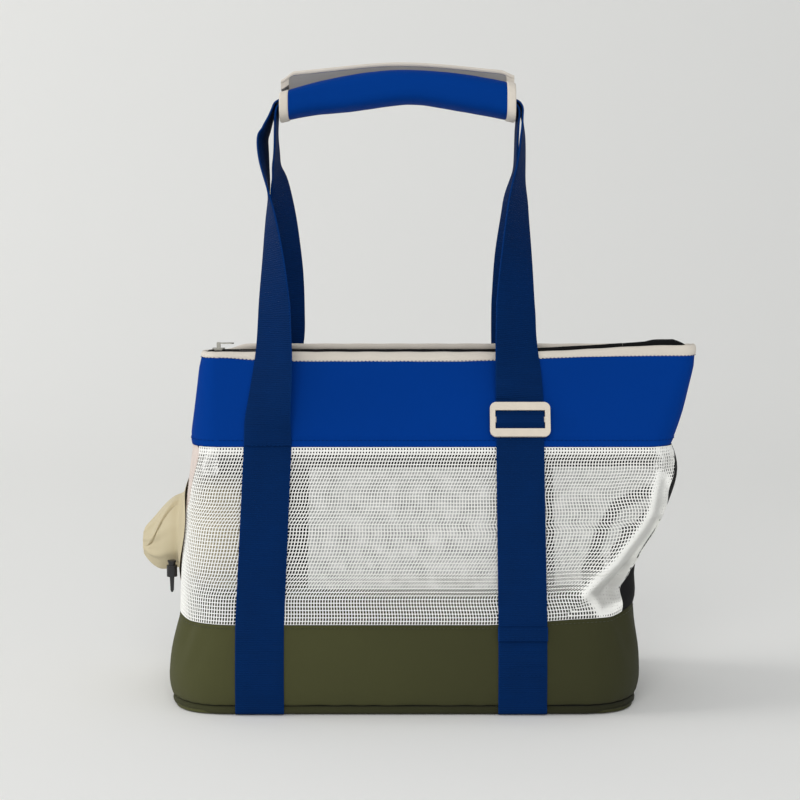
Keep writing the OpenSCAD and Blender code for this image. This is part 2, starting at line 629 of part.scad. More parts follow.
module front_adjuster_web() color(navy) on_tail(right_web_x, -1) adjuster_web();
module rear_adjuster_web() color(navy) on_tail(adjuster_x, 1) adjuster_web();

// ---- Handle wrap: an arched tube in two halves, open along its top, its rear half hinged at the bottom ----
// angles go round the tube from the rear: 90 top, 180 front, 270 bottom
squareness = 3.2;
// angle at which the tube's outside is a distance y from the middle
function angle_at(y) = acos(pow(y / wrap_half_d, squareness / 2));
open_at = 180 - angle_at(3);
seam_half = 90 - angle_at(seat);
function squared(v) = sign(v) * pow(abs(v), 2 / squareness);
function tube_at(a, out) = [(wrap_half_d + out) * squared(cos(a)), (wrap_half_h + out) * squared(sin(a))];
// place along the wrap, -1 at its left end and 1 at its right
function along(x) = (x - wrap_mid) / (wrap_l / 2);
sag_x = -58;
sag_reach = 28;
function hang(x, up) = up < 0 ? wrap_sag * exp(-pow((x - sag_x) / sag_reach, 2)) : 0;
function press(x) = wrap_press - (x < wrap_mid ? wrap_sink : wrap_sink / 2) * pow(abs(along(x)), 1.5);
function tube_row(x, angles, out) = [for (a = angles) let (q = tube_at(a, out))
    [x, q[0], arch(x) + q[1] * (q[1] > 0 ? press(x) : 1) - hang(x, q[1])]];
module tube_part(xs, a0, a1, m, out, inset) {
    sheet_between([for (x = xs) tube_row(x, steps(a0, a1, m), out)],
        [for (x = xs) tube_row(x, steps(a0, a1, m), -inset)]);
}
body_left = wrap_left + wrap_binding + 0.2;
body_right = wrap_right - wrap_binding - 0.2;
body_xs = steps(body_left, body_right, 14);
binding_proud = 0.8;
module wrap_pad() color(blue) tube_part(body_xs, open_at, 270 - seam_half, 10, 0, wrap_t);
module wrap_end_binding() {
    color(cream) for (x = [wrap_left, wrap_right - wrap_binding])
        tube_part([x, x + wrap_binding], open_at, 270 - seam_half, 10, binding_proud, wrap_t);
}
loop_t = 0.8;
module wrap_loop_tape() {
    color(grey) tube_part(body_xs, open_at + 3, open_at + 28, 3, -wrap_t - seat, wrap_t + seat + loop_t);
}
// outline of the flap: round the rear and then up into the lip, as pairs of [y, height over the arch]
flap_top = 80;
flap_angles = steps(270 + seam_half, 360 + flap_top, 10);
lip_top = wrap_half_h + lip_h - lip_cord;
function flap_outer(out) = concat([for (a = flap_angles) tube_at(a, out)],
    [[3.8 + out, wrap_half_h + 0.5 + out / 2], [3.2 + out, lip_top]]);
flap_inner = concat([for (a = flap_angles) tube_at(a, -wrap_t)], [[1.2, wrap_half_h - 2.4], [1, lip_top]]);
// the flap's upper part rises towards its ends and drops again over the bindings
drop_from = 0.88;
lip_drop = 7.2;
function rise(x) = lip_rise * pow(along(x), 4)
    - lip_drop * max(0, (abs(along(x)) - drop_from) / (1 - drop_from));
function lip_share(up) = min(1, max(0, up - 6) / 8);
function on_flap(x, q) = [x, q[0], arch(x) + q[1] - hang(x, q[1]) + rise(x) * lip_share(q[1])];
module along_arch(xs, outer, inner) {
    sheet_between([for (x = xs) [for (q = outer) on_flap(x, q)]],
        [for (x = xs) [for (q = inner) on_flap(x, q)]]);
}
module wrap_flap() color(blue) along_arch(body_xs, flap_outer(0), flap_inner);
module flap_end_binding() {
    color(cream) for (x = [wrap_left, wrap_right - wrap_binding])
        along_arch([x, x + wrap_binding], flap_outer(binding_proud), flap_inner);
}
module flap_piping() {
    r = lip_cord / 2;
    ring = [for (a = [0:45:315]) [2.1 + r * cos(a), lip_top + seat + r + r * sin(a)]];
    xs = concat([wrap_left, wrap_left + wrap_binding], body_xs, [wrap_right - wrap_binding, wrap_right]);
    last = 8 * (len(xs) - 1);
    color(cream) polyhedron([for (x = xs, q = ring) on_flap(x, q)],
        concat(grid_faces(len(xs), 8, 0, false, true), [for (k = [1:6]) [0, k + 1, k]],
            [for (k = [1:6]) [last, last + k, last + k + 1]]));
}
hook_t = 0.7;
hook_low = wrap_half_h - 4.6;
module wrap_hook_tape() {
    color(grey) along_arch(body_xs, [[hook_t, hook_low], [hook_t, lip_top - 0.2]],
        [[0, hook_low], [0, lip_top - 0.2]]);
}

// ---- Head opening: a nylon sleeve round the hole in the left side, drawn shut ----
collar_t = 1.2;
flange = 4;
droop = 11;
// place of the left side's outer face at distance y from the middle and height z
function side_x(y, z) = let (c = corner(z), e = max(0, abs(y) - (half_d(z) - c)))
    left_end(z) + c - sqrt(c * c - e * e);
// the sleeve's profile as [radius, distance out of the side, depth of its gathers]
sleeve = [[head_r + flange, 1.6, 0], [head_r - 2, 3.4, 0], [collar_r + 1.5, 6, 0.5], [collar_r, 12, 1.4],
    [collar_r, 19, 1.8], [collar_r - 3, 26, 2], [collar_r * 0.66, collar_out - 4, 2],
    [collar_r * 0.4, collar_out - 0.6, 1.4], [5.4, collar_out - 2, 0.5]];
function sleeve_at(i, k, a) = let (m = len(sleeve) - 1, q = sleeve[i],
        run = sleeve[min(i + 1, m)] - sleeve[max(i - 1, 0)], side = unit([run[1], -run[0]]),
        r = q[0] - side[0] * k + q[2] * cos(gathers * a), out = q[1] - side[1] * k,
        y = r * cos(a), z = head_z - r * sin(a))
    [mix(side_x(y, z), left_end(head_z), min(1, max(0, out - 2) / 10)) - out, y,
        z - droop * pow(max(0, out) / collar_out, 1.5)];
sleeve_turns = 54;
module head_collar() {
    angles = [for (j = [0:sleeve_turns - 1]) 360 * j / sleeve_turns];
    color(beige) ring_between([for (i = [0:len(sleeve) - 1]) [for (a = angles) sleeve_at(i, 0, a)]],
        [for (i = [0:len(sleeve) - 1]) [for (a = angles) sleeve_at(i, collar_t, a)]]);
}
// toggle on the drawcord, under the front of the collar in line with one of the gathers' troughs
cord_angle = 140;
outwards = [0, cos(cord_angle), -sin(cord_angle)];
function on_sleeve(t) = mix(sleeve_at(2, 0, cord_angle), sleeve_at(3, 0, cord_angle), t);
lock_at = on_sleeve(0.5) + outwards * 10;
lock_h = 9;
button_r = lock_r - 1.3;
button_l = 5;
bore_l = 7;
module rod(a, b, r) {
    d = b - a;
    translate(a) rotate([0, acos(d.z / norm(d)), atan2(d.y, d.x)]) cylinder(r = r, h = norm(d), $fn = 24);
}
cord_r = 1;
module collar_cord() {
    color("#24242a") {
        // round the drawn mouth, inside the hem
        translate([left_end(head_z) - collar_out + 4.2, 0, head_z - droop * 0.83]) rotate([0, 90, 0])
            rotate_extrude($fn = 48) translate([collar_r * 0.3, 0]) circle(r = cord_r, $fn = 16);
        // the two ends, from the sleeve's underside to the toggle
        for (t = [0.28, 0.72]) let (a = on_sleeve(t))
            rod(a + outwards * 0.75, [a.x, lock_at.y, lock_at.z] - outwards * (lock_r * 1.5), cord_r);
    }
}
module cord_lock() {
    color(black) translate(lock_at - [0, 0, lock_h / 2]) difference() {
        cylinder(r = lock_r, h = lock_h, $fn = 48);
        translate([0, 0, lock_h - bore_l]) cylinder(r = button_r + play, h = bore_l + 1, $fn = 48);
    }
}
button_z = lock_at.z + lock_h / 2 + button_travel + 1.2 + seat;
module cord_lock_button() {
    color("#2a2a2e") translate([lock_at.x, lock_at.y, button_z - button_l - 1.2]) {
        cylinder(r = button_r, h = button_l + 0.2, $fn = 48);
        translate([0, 0, button_l - 0.1]) cylinder(r = button_r + 0.6, h = 1.3, $fn = 48);
    }
}
spring_wire = 0.25;
spring_r = button_r - 0.8;
spring_turns = 3;
module cord_lock_spring() {
    low = lock_at.z + lock_h / 2 - bore_l + spring_wire + 0.1;
    high = button_z - button_l - 1.2 - spring_wire - 0.1;
    n = spring_turns * 10;
    last = 6 * n;
    color(silver) polyhedron([for (i = [0:n], a = [0:60:300])
        let (t = 36 * i, r = spring_r + spring_wire * cos(a))
        [lock_at.x + r * cos(t), lock_at.y + r * sin(t), mix(low, high, i / n) + spring_wire * sin(a)]],
        concat(grid_faces(n + 1, 6, 0, false, true), [for (k = [1:4]) [0, k + 1, k]],
            [for (k = [1:4]) [last, last + k, last + k + 1]]));
}
module cord_end() {
    color(black) translate(lock_at - [0, 0, lock_h / 2 + seat]) rotate([180, 0, 0])
        rotate([90, 0, 0]) translate([0, 0, -1]) linear_extrude(2)
            polygon([[-1.8, 0], [1.8, 0], [1.3, 11], [0.6, 12.5], [-0.6, 12.5], [-1.3, 11]]);
}

base_bottom();
base_wall();
base_piping();
base_board();
base_mat();
front_mesh();
rear_mesh();
left_side_panel();
right_side_panel();
rear_lining();
large_pocket();
small_pocket();
front_band();
rear_band();
front_binding();
rear_binding();
front_zip_tape();
rear_zip_tape();
front_zip_teeth();
rear_zip_teeth();
zip_left_tab();
zip_right_tab();
zip_slider();
zip_pull();
left_webbing();
right_webbing();
front_tail();
rear_tail();
front_adjuster();
rear_adjuster();
front_adjuster_web();
rear_adjuster_web();
front_strap_roots();
rear_strap_roots();
front_handle();
rear_handle();
wrap_pad();
wrap_end_binding();
wrap_loop_tape();
wrap_flap();
flap_end_binding();
flap_piping();
wrap_hook_tape();
head_collar();
collar_cord();
cord_lock();
cord_lock_spring();
cord_lock_button();
cord_end();
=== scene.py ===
import bmesh
import bpy
import json
import math
from math import acos, asin, atan, copysign, degrees, dist, exp, hypot, pi, radians, sqrt
from mathutils import Vector
from mathutils.bvhtree import BVHTree
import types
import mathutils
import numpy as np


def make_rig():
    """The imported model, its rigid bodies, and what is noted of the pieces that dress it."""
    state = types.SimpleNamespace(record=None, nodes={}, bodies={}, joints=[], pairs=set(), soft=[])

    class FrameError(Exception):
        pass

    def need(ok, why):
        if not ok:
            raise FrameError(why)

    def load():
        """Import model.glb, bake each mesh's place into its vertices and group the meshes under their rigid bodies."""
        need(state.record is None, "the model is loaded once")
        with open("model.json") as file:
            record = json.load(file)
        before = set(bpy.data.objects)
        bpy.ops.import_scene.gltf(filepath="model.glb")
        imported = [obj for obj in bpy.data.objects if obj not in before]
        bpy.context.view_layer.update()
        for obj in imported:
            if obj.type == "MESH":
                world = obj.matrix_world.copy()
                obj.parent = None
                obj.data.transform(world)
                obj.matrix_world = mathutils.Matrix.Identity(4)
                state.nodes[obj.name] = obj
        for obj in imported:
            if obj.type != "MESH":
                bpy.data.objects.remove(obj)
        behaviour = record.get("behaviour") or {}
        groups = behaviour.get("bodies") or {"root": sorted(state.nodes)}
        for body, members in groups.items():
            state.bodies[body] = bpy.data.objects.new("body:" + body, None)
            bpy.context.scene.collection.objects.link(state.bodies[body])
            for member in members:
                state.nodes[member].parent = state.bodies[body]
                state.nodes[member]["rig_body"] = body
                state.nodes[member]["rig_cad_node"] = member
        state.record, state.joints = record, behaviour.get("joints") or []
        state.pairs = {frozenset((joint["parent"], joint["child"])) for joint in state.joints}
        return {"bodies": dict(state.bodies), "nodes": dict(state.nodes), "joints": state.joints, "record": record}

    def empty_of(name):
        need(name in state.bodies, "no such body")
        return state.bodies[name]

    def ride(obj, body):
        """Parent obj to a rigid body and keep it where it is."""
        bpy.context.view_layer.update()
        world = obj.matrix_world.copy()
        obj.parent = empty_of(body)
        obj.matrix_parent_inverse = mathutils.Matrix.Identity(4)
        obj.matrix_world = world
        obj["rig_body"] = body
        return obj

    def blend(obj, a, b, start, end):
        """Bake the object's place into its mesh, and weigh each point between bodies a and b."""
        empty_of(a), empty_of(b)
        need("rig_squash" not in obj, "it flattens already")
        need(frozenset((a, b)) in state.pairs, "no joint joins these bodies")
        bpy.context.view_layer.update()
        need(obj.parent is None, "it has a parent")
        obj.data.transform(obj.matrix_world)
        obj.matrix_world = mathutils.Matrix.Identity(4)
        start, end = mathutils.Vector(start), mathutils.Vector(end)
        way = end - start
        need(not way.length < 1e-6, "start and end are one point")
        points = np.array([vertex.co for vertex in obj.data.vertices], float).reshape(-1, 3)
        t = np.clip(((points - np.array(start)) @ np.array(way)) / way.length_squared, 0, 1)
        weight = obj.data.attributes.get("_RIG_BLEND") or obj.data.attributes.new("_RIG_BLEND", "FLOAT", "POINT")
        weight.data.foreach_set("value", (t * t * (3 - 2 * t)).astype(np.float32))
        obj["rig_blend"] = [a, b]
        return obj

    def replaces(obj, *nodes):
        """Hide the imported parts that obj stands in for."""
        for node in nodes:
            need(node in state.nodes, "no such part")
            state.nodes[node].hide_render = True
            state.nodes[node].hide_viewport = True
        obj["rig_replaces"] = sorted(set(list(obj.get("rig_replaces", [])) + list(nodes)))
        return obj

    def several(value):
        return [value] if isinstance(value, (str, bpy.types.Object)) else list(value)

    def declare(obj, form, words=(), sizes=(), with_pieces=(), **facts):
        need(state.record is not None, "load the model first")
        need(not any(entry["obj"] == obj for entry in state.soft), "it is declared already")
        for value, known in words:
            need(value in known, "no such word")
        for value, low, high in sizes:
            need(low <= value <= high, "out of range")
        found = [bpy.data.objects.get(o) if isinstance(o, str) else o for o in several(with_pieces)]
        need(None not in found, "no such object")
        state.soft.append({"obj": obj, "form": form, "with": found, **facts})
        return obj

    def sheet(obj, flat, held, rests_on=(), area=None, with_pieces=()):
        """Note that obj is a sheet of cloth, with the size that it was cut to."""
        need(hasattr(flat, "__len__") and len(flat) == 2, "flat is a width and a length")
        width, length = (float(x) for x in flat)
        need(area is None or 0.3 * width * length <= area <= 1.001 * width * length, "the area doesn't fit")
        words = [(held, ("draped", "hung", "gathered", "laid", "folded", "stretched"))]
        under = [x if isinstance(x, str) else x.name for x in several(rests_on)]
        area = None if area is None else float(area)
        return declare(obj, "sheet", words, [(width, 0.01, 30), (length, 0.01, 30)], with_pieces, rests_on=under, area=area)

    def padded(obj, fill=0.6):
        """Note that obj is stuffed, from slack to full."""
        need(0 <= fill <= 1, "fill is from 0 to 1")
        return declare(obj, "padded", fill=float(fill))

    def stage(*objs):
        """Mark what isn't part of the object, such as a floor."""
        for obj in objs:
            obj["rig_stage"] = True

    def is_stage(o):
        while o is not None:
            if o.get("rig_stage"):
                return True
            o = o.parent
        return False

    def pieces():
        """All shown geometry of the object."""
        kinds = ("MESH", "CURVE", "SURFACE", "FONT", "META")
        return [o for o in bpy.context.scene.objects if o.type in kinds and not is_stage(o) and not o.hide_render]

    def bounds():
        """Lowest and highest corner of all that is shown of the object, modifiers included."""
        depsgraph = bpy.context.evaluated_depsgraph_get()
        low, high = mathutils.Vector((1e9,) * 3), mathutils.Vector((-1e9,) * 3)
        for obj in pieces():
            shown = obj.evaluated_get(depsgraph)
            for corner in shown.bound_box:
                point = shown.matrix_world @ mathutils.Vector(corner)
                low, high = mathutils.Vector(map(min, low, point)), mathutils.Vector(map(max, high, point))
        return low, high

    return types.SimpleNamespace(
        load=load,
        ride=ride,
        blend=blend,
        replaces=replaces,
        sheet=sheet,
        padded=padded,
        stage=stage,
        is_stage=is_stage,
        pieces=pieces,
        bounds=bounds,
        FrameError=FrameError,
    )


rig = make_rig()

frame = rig.load()
CAD_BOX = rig.bounds()
MM = 0.001


def sin(a):
    return math.sin(radians(a))


def cos(a):
    return math.cos(radians(a))


# ---- Camera ----
IMAGE = 800
LENS, SENSOR = 83.25, 36
SIGHT = IMAGE * LENS / SENSOR
CAM_AT, CAM_DOWN = (-3.6, -1500, 400), atan(0.1084)
cam_data = bpy.data.cameras.new("camera")
cam_data.lens, cam_data.sensor_width, cam_data.sensor_fit = LENS, SENSOR, "AUTO"
cam_data.clip_end = 30
cam = bpy.data.objects.new("camera", cam_data)
cam.location = Vector(CAM_AT) * MM
cam.rotation_euler = (pi / 2 - CAM_DOWN, 0, 0)
bpy.context.scene.collection.objects.link(cam)
bpy.context.scene.camera = cam
bpy.context.view_layer.update()
TO_CAMERA = cam.matrix_world.inverted()


# named places in the photograph: the only image coordinates here
POINTS = {
    "object_left": (144, None), "object_right": (695, None),
    "object_top": (None, 63.5), "object_bottom": (None, 716),
    "zip_slider": (219, 346.5), "band_bottom_left": (190, 446), "band_bottom_right": (669, 446),
    "mouth_right_end": (695, 352), "adjuster": (519.7, 420.5), "tail_hem": (523, 634.5),
    "wrap_blue_top_left": (286, 91), "wrap_blue_bottom_right": (501, 118), "collar_bottom": (None, 570),
    "left_strap_at_base": (258, 616), "right_strap_at_base": (523, 590),
    "left_strap_tack": (267.5, 447), "right_strap_tack": (526, 671.5),
    }


def off_line(q, line):
    """Signed distance of a place from a line of places, positive on its right as it runs."""
    best = (1e9, 1)
    for (x0, y0), (x1, y1) in zip(line, line[1:]):
        dx, dy = x1 - x0, y1 - y0
        t = min(1, max(0, ((q[0] - x0) * dx + (q[1] - y0) * dy) / (dx * dx + dy * dy)))
        d = hypot(q[0] - x0 - t * dx, q[1] - y0 - t * dy)
        if d < best[0]:
            best = (d, 1 if dx * (q[1] - y0) - dy * (q[0] - x0) < 0 else -1)
    return best[0] * best[1]


def within(q, poly):
    """Whether a place lies inside a closed line of places."""
    inside = False
    for (x0, y0), (x1, y1) in zip(poly, poly[1:] + poly[:1]):
        if (y0 > q[1]) != (y1 > q[1]) and q[0] < x0 + (x1 - x0) * (q[1] - y0) / (y1 - y0):
            inside = not inside
    return inside


# ---- Sizes and shape of the bag, in millimetres, as in the CAD source ----
HALF_W, HALF_D, CORNER, BASE_H, CROWN = 187, 90, 46, 70, 7
BAND_Z, MOUTH_Z, BAND_L, BAND_R, BAND_D, BAND_C = 204, 278, 171, 214, 40, 24
MOUTH_L, MOUTH_R, MOUTH_D, SLUMP, FULL_Z = 163, 234, 14, 13, 25
WEB_W, WEB_T, SEAT = 38, 1.6, 0.05
LEFT_WEB, RIGHT_WEB, ADJ_Z, ADJ_H, TAIL_Z = -113, 92, 225, 28, 59
HEAD_Z, HEAD_R, GATHERS = 130, 40, 9
WALL_LOW, WALL_TOP = BASE_H + 0.3, BAND_Z - 0.2


def mix(a, b, t):
    return a + (b - a) * t


def clamp(t, a=0.0, b=1.0):
    return min(b, max(a, t))


def ease(t):
    t = clamp(t)
    return t * t * (3 - 2 * t)


def bump(x, at, wide):
    return exp(-((x - at) / wide) ** 2)


def between(x, a, rising, b, falling):
    """1 between two places, easing from 0 past the first and back to 0 before the second."""
    return ease((x - a) / rising) * ease((b - x) / falling)


def table(x, pairs, bend=ease):
    """The value at x along a line of (place, value) pairs."""
    for (x0, y0), (x1, y1) in zip(pairs, pairs[1:]):
        if x <= x1:
            return mix(y0, y1, bend(clamp((x - x0) / (x1 - x0))))
    return pairs[-1][1]


def crown(z):
    """How far the base draws in above and below its fullest height."""
    t = (FULL_Z - z) / FULL_Z if z < FULL_Z else (z - FULL_Z) / (BASE_H - FULL_Z)
    return CROWN * t ** 2


def wall01(z):
    return (z - BASE_H) / (BAND_Z - BASE_H)


def band01(z):
    return (z - BAND_Z) / (MOUTH_Z - BAND_Z)


def size_at(z, base, share, band, mouth, power=1):
    """A size at a height: the base's, less a share of its crown, then through the band's to the mouth's."""
    if z <= BASE_H:
        return base - crown(z) * share
    if z <= BAND_Z:
        return mix(base - CROWN * share, band, wall01(z) ** power)
    return mix(band, mouth, band01(z))


# how far the cloth stands proud of the CAD solid, as (height, distance), at each end
LEFT_PROUD = [(0, 2.6), (50, 0), (200, 0), (215, 2.6), (262, 2.6), (278, 1)]
RIGHT_PROUD = [(0, 1.8), (45, 0.3), (74, 3.5), (104, -3.5), (132, 1), (160, 0), (200, 2), (235, 4.8),
    (262, 4.8), (278, 2.4)]


def left_end(z):
    return -size_at(z, HALF_W, 1, BAND_L, MOUTH_L, 2) - table(z, LEFT_PROUD)


def right_end(z):
    slump = SLUMP * sin(180 * wall01(z) ** 2.2) if BASE_H < z <= BAND_Z else 0
    return size_at(z, HALF_W, 1, BAND_R, MOUTH_R) + slump + table(z, RIGHT_PROUD)


def half_d(z):
    foot_proud = 3.2 * max(0, 1 - z / 60)
    return size_at(z, HALF_D, 0.6, BAND_D, MOUTH_D) + foot_proud


def corner(z):
    return size_at(z, CORNER, 0, BAND_C, MOUTH_D - 1)


def climb(x):
    """How much higher the base's top edge stands towards the ends."""
    return 5 * ease((x - 60) / 90) + 5.5 * ease((x - 160) / 22) + 3 * ease((-x - 168) / 14)


def lift(x, z):
    """The climb's share at a height, which is none at the floor and at the band."""
    return climb(x) * (z / BASE_H if z < BASE_H else max(0, (BAND_Z - z) / (BAND_Z - BASE_H)))


def outline(z, p, inset):
    """A place on the outline: p goes from 0 to 8 from the front's left end, side and corner in turn."""
    q = (p + 16) % 8
    s = int(q)
    f = q - s
    l, r, d = left_end(z) + inset, right_end(z) - inset, half_d(z) - inset
    c, a = max(corner(z) - inset, 0.5), 90 * f
    return [(l + c + (r - l - 2 * c) * f, -d), (r - c + c * sin(a), c - d - c * cos(a)),
        (r, (c - d) * (1 - 2 * f)), (r - c + c * cos(a), d - c + c * sin(a)),
        (r - c - (r - l - 2 * c) * f, d), (l + c - c * sin(a), d - c + c * cos(a)),
        (l, (d - c) * (1 - 2 * f)), (l + c - c * cos(a), c - d - c * sin(a))][s]


def on_bag(z, p, inset):
    x, y = outline(z, p, inset)
    return (x, y, z + lift(x, z))


def steps(a, b, n):
    return [mix(a, b, i / n) for i in range(n + 1)]


def around(n_corner, n_side):
    """Values of p all round the outline, with so many to each corner and each side."""
    return [s + i / n for s in range(8) for n in [n_corner if s % 2 else n_side] for i in range(n)]


# where the side panels are sewn to the front and the rear, as (height, p)
LEFT_SEAM = [(70, 7.03), (138, 7.05), (165, 7.3), (204, 7.5)]
RIGHT_SEAM = [(70, 1.52), (90, 1.43), (99, 1.62), (108, 1.9), (124, 1.97), (137, 1.95), (146, 1.8),
    (169, 1.56), (190, 1.67), (204, 1.86)]


def left_seam(z):
    return table(z, LEFT_SEAM)


def right_seam(z):
    return table(z, RIGHT_SEAM)


def rear_seam(z):
    return mix(1.58, 1.86, wall01(z))


def wave(*q):
    """A smooth wandering value between -1 and 1, the same in every run."""
    return sum(math.sin(a * f + k * 1.7) for k, a in enumerate(q) for f in (1, 0.37, 2.3)) / (3 * len(q))


def kept(*nodes):
    """The names of the objects of nodes that show the CAD's own mesh."""
    return [frame["nodes"][n].name for n in nodes]


PIECES = kept("zip_slider", "zip_pull", "front_adjuster", "rear_adjuster", "cord_lock", "cord_lock_button",
    "cord_end")


# ---- Mesh builders ----
def add(name, verts, faces, mat, body, rep=(), uvs=None, sharp=55, closed=True):
    """A smooth mesh from places in millimetres, which rides on a body and stands for the nodes in rep."""
    mesh = bpy.data.meshes.new(name)
    mesh.from_pydata([Vector(v) * MM for v in verts], [], faces)
    if uvs:
        layer = mesh.uv_layers.new(name="metres")
        layer.data.foreach_set("uv", [c * MM for uv in uvs for c in uv])
    mesh.materials.append(mat)
    if closed:
        bm = bmesh.new()
        bm.from_mesh(mesh)
        bmesh.ops.recalc_face_normals(bm, faces=bm.faces)
        bm.to_mesh(mesh)
        bm.free()
    mesh.polygons.foreach_set("use_smooth", [True] * len(mesh.polygons))
    mesh.set_sharp_from_angle(angle=radians(sharp))
    ob = bpy.data.objects.new(name, mesh)
    bpy.context.scene.collection.objects.link(ob)
    PIECES.append(name)
    if body:
        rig.ride(ob, body)
    if rep:
        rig.replaces(ob, *rep)
    return ob


def grid_parts(rows, wrap_u=False, wrap_v=False, base=0, uv_rows=None):
    """Faces and their corners' UVs, in millimetres along the rows and columns."""
    m, n = len(rows), len(rows[0])
    mid = rows[m // 2]
    u, v = [0], [0]
    for j in range(n if wrap_u else n - 1):
        u.append(u[-1] + dist(mid[j], mid[(j + 1) % n]))
    for i in range(m if wrap_v else m - 1):
        v.append(v[-1] + dist(rows[i][n // 2], rows[(i + 1) % m][n // 2]))
    faces, uvs = [], []
    for i in range(len(v) - 1):
        for j in range(len(u) - 1):
            i2, j2 = (i + 1) % m, (j + 1) % n
            faces.append((base + i * n + j, base + i * n + j2, base + i2 * n + j2, base + i2 * n + j))
            if uv_rows:
                uvs += [uv_rows[i][j], uv_rows[i][j2], uv_rows[i2][j2], uv_rows[i2][j]]
            else:
                uvs += [(u[j], v[i]), (u[j + 1], v[i]), (u[j + 1], v[i + 1]), (u[j], v[i + 1])]
    return faces, uvs


def tube_parts(rows, uv_rows, wrap_v=False, base=0):
    """Faces and UVs of a tube with flat ends; wrap_v joins the last ring to the first instead."""
    faces, uvs = grid_parts(rows, True, wrap_v, base, uv_rows)
    n = len(rows[0])
    if not wrap_v:
        for ring, start in ((rows[0], base), (rows[-1], base + n * (len(rows) - 1))):
            faces.append(tuple(start + j for j in range(n)))
            uvs += [(p[1], p[2]) for p in ring]
    return faces, uvs


def loft(name, rows, mat, body, rep, wrap_v=False, uv_rows=None, **kw):
    faces, uvs = tube_parts(rows, uv_rows, wrap_v)
    return add(name, [p for r in rows for p in r], faces, mat, body, rep, uvs, **kw)


def layers(us, vs, place, depths):
    """Grids of the places place(u, v, depth), one for each depth."""
    return [[[place(u, v, d) for v in vs] for u in us] for d in depths]


def shell(name, outer, inner, mat, body, rep=(), wrap=False):
    """A closed sheet between two grids of points."""
    rows = outer + inner[::-1]
    faces, uvs = grid_parts(rows, wrap, True)
    if not wrap:
        m, n = len(outer), len(outer[0])
        for j in (0, n - 1):
            for i in range(m - 1):
                faces.append((i * n + j, (i + 1) * n + j, (2 * m - 2 - i) * n + j, (2 * m - 1 - i) * n + j))
                uvs += [(0, i), (0, i + 1), (1, i + 1), (1, i)]
    return add(name, [p for r in rows for p in r], faces, mat, body, rep, uvs)


def spline(pts, n):
    """A smooth curve through the points, with n steps from each to the next."""
    out, m = [], len(pts) - 1
    for i in range(m):
        a, b, c, d = pts[max(i - 1, 0)], pts[i], pts[i + 1], pts[min(i + 2, m)]
        for k in range(n):
            t = k / n
            out.append(tuple(0.5 * (2 * q + (r - p) * t + (2 * p - 5 * q + 4 * r - s) * t * t
                + (3 * q - p - 3 * r + s) * t ** 3) for p, q, r, s in zip(a, b, c, d)))
    return out + [tuple(pts[-1])]


def ribbon_section(w, t):
    """The webbing's section, thicker just inside its rounded edges."""
    half = [(-w / 2, 0), (-w / 2 + 0.3, 0.4 * t), (-w / 2 + 1.1, 0.5 * t), (-w / 4, 0.46 * t), (0, 0.44 * t),
        (w / 4, 0.46 * t), (w / 2 - 1.1, 0.5 * t), (w / 2 - 0.3, 0.4 * t)]
    return half + [(-x, -y) for x, y in half]


def ribbon_rows(pts, w=WEB_W, t=WEB_T, side=1, cut=(0, 0, 1)):
    """Rings and UVs of webbing along (x, y, z, turn) points; side mirrors the turn, cut is the ends' way."""
    section, rows, uvs, run_mm, m = ribbon_section(w, t), [], [], 0, len(pts) - 1
    for i, p in enumerate(pts):
        way = Vector(pts[min(i + 1, m)][:3]) - Vector(pts[max(i - 1, 0)][:3])
        run = way.normalized()
        if cut and i in (0, m):
            run = Vector(cut) * (1 if way.dot(Vector(cut)) > 0 else -1)
        raw = Vector((cos(p[3]), -side * sin(p[3]), 0))
        across = (raw - raw.dot(run) * run).normalized()
        up = run.cross(across)
        if i:
            run_mm += dist(pts[i][:3], pts[i - 1][:3])
        rows.append([tuple(Vector(p[:3]) + across * a + up * b) for a, b in section])
        uvs.append([(a, run_mm) for a, b in section])
    return rows, uvs


def ribbon(name, pts, body, rep, **kw):
    rows, uvs = ribbon_rows(pts, **kw)
    return loft(name, rows, NAVY, body, rep, uv_rows=uvs, sharp=70)


# ---- Materials ----
def srgb(r, g, b):
    return tuple(c / 255 / 12.92 if c <= 10 else ((c / 255 + 0.055) / 1.055) ** 2.4 for c in (r, g, b)) + (1,)


def tone(rgb, k):
    return srgb(*(clamp(c * k, 0, 255) for c in rgb))


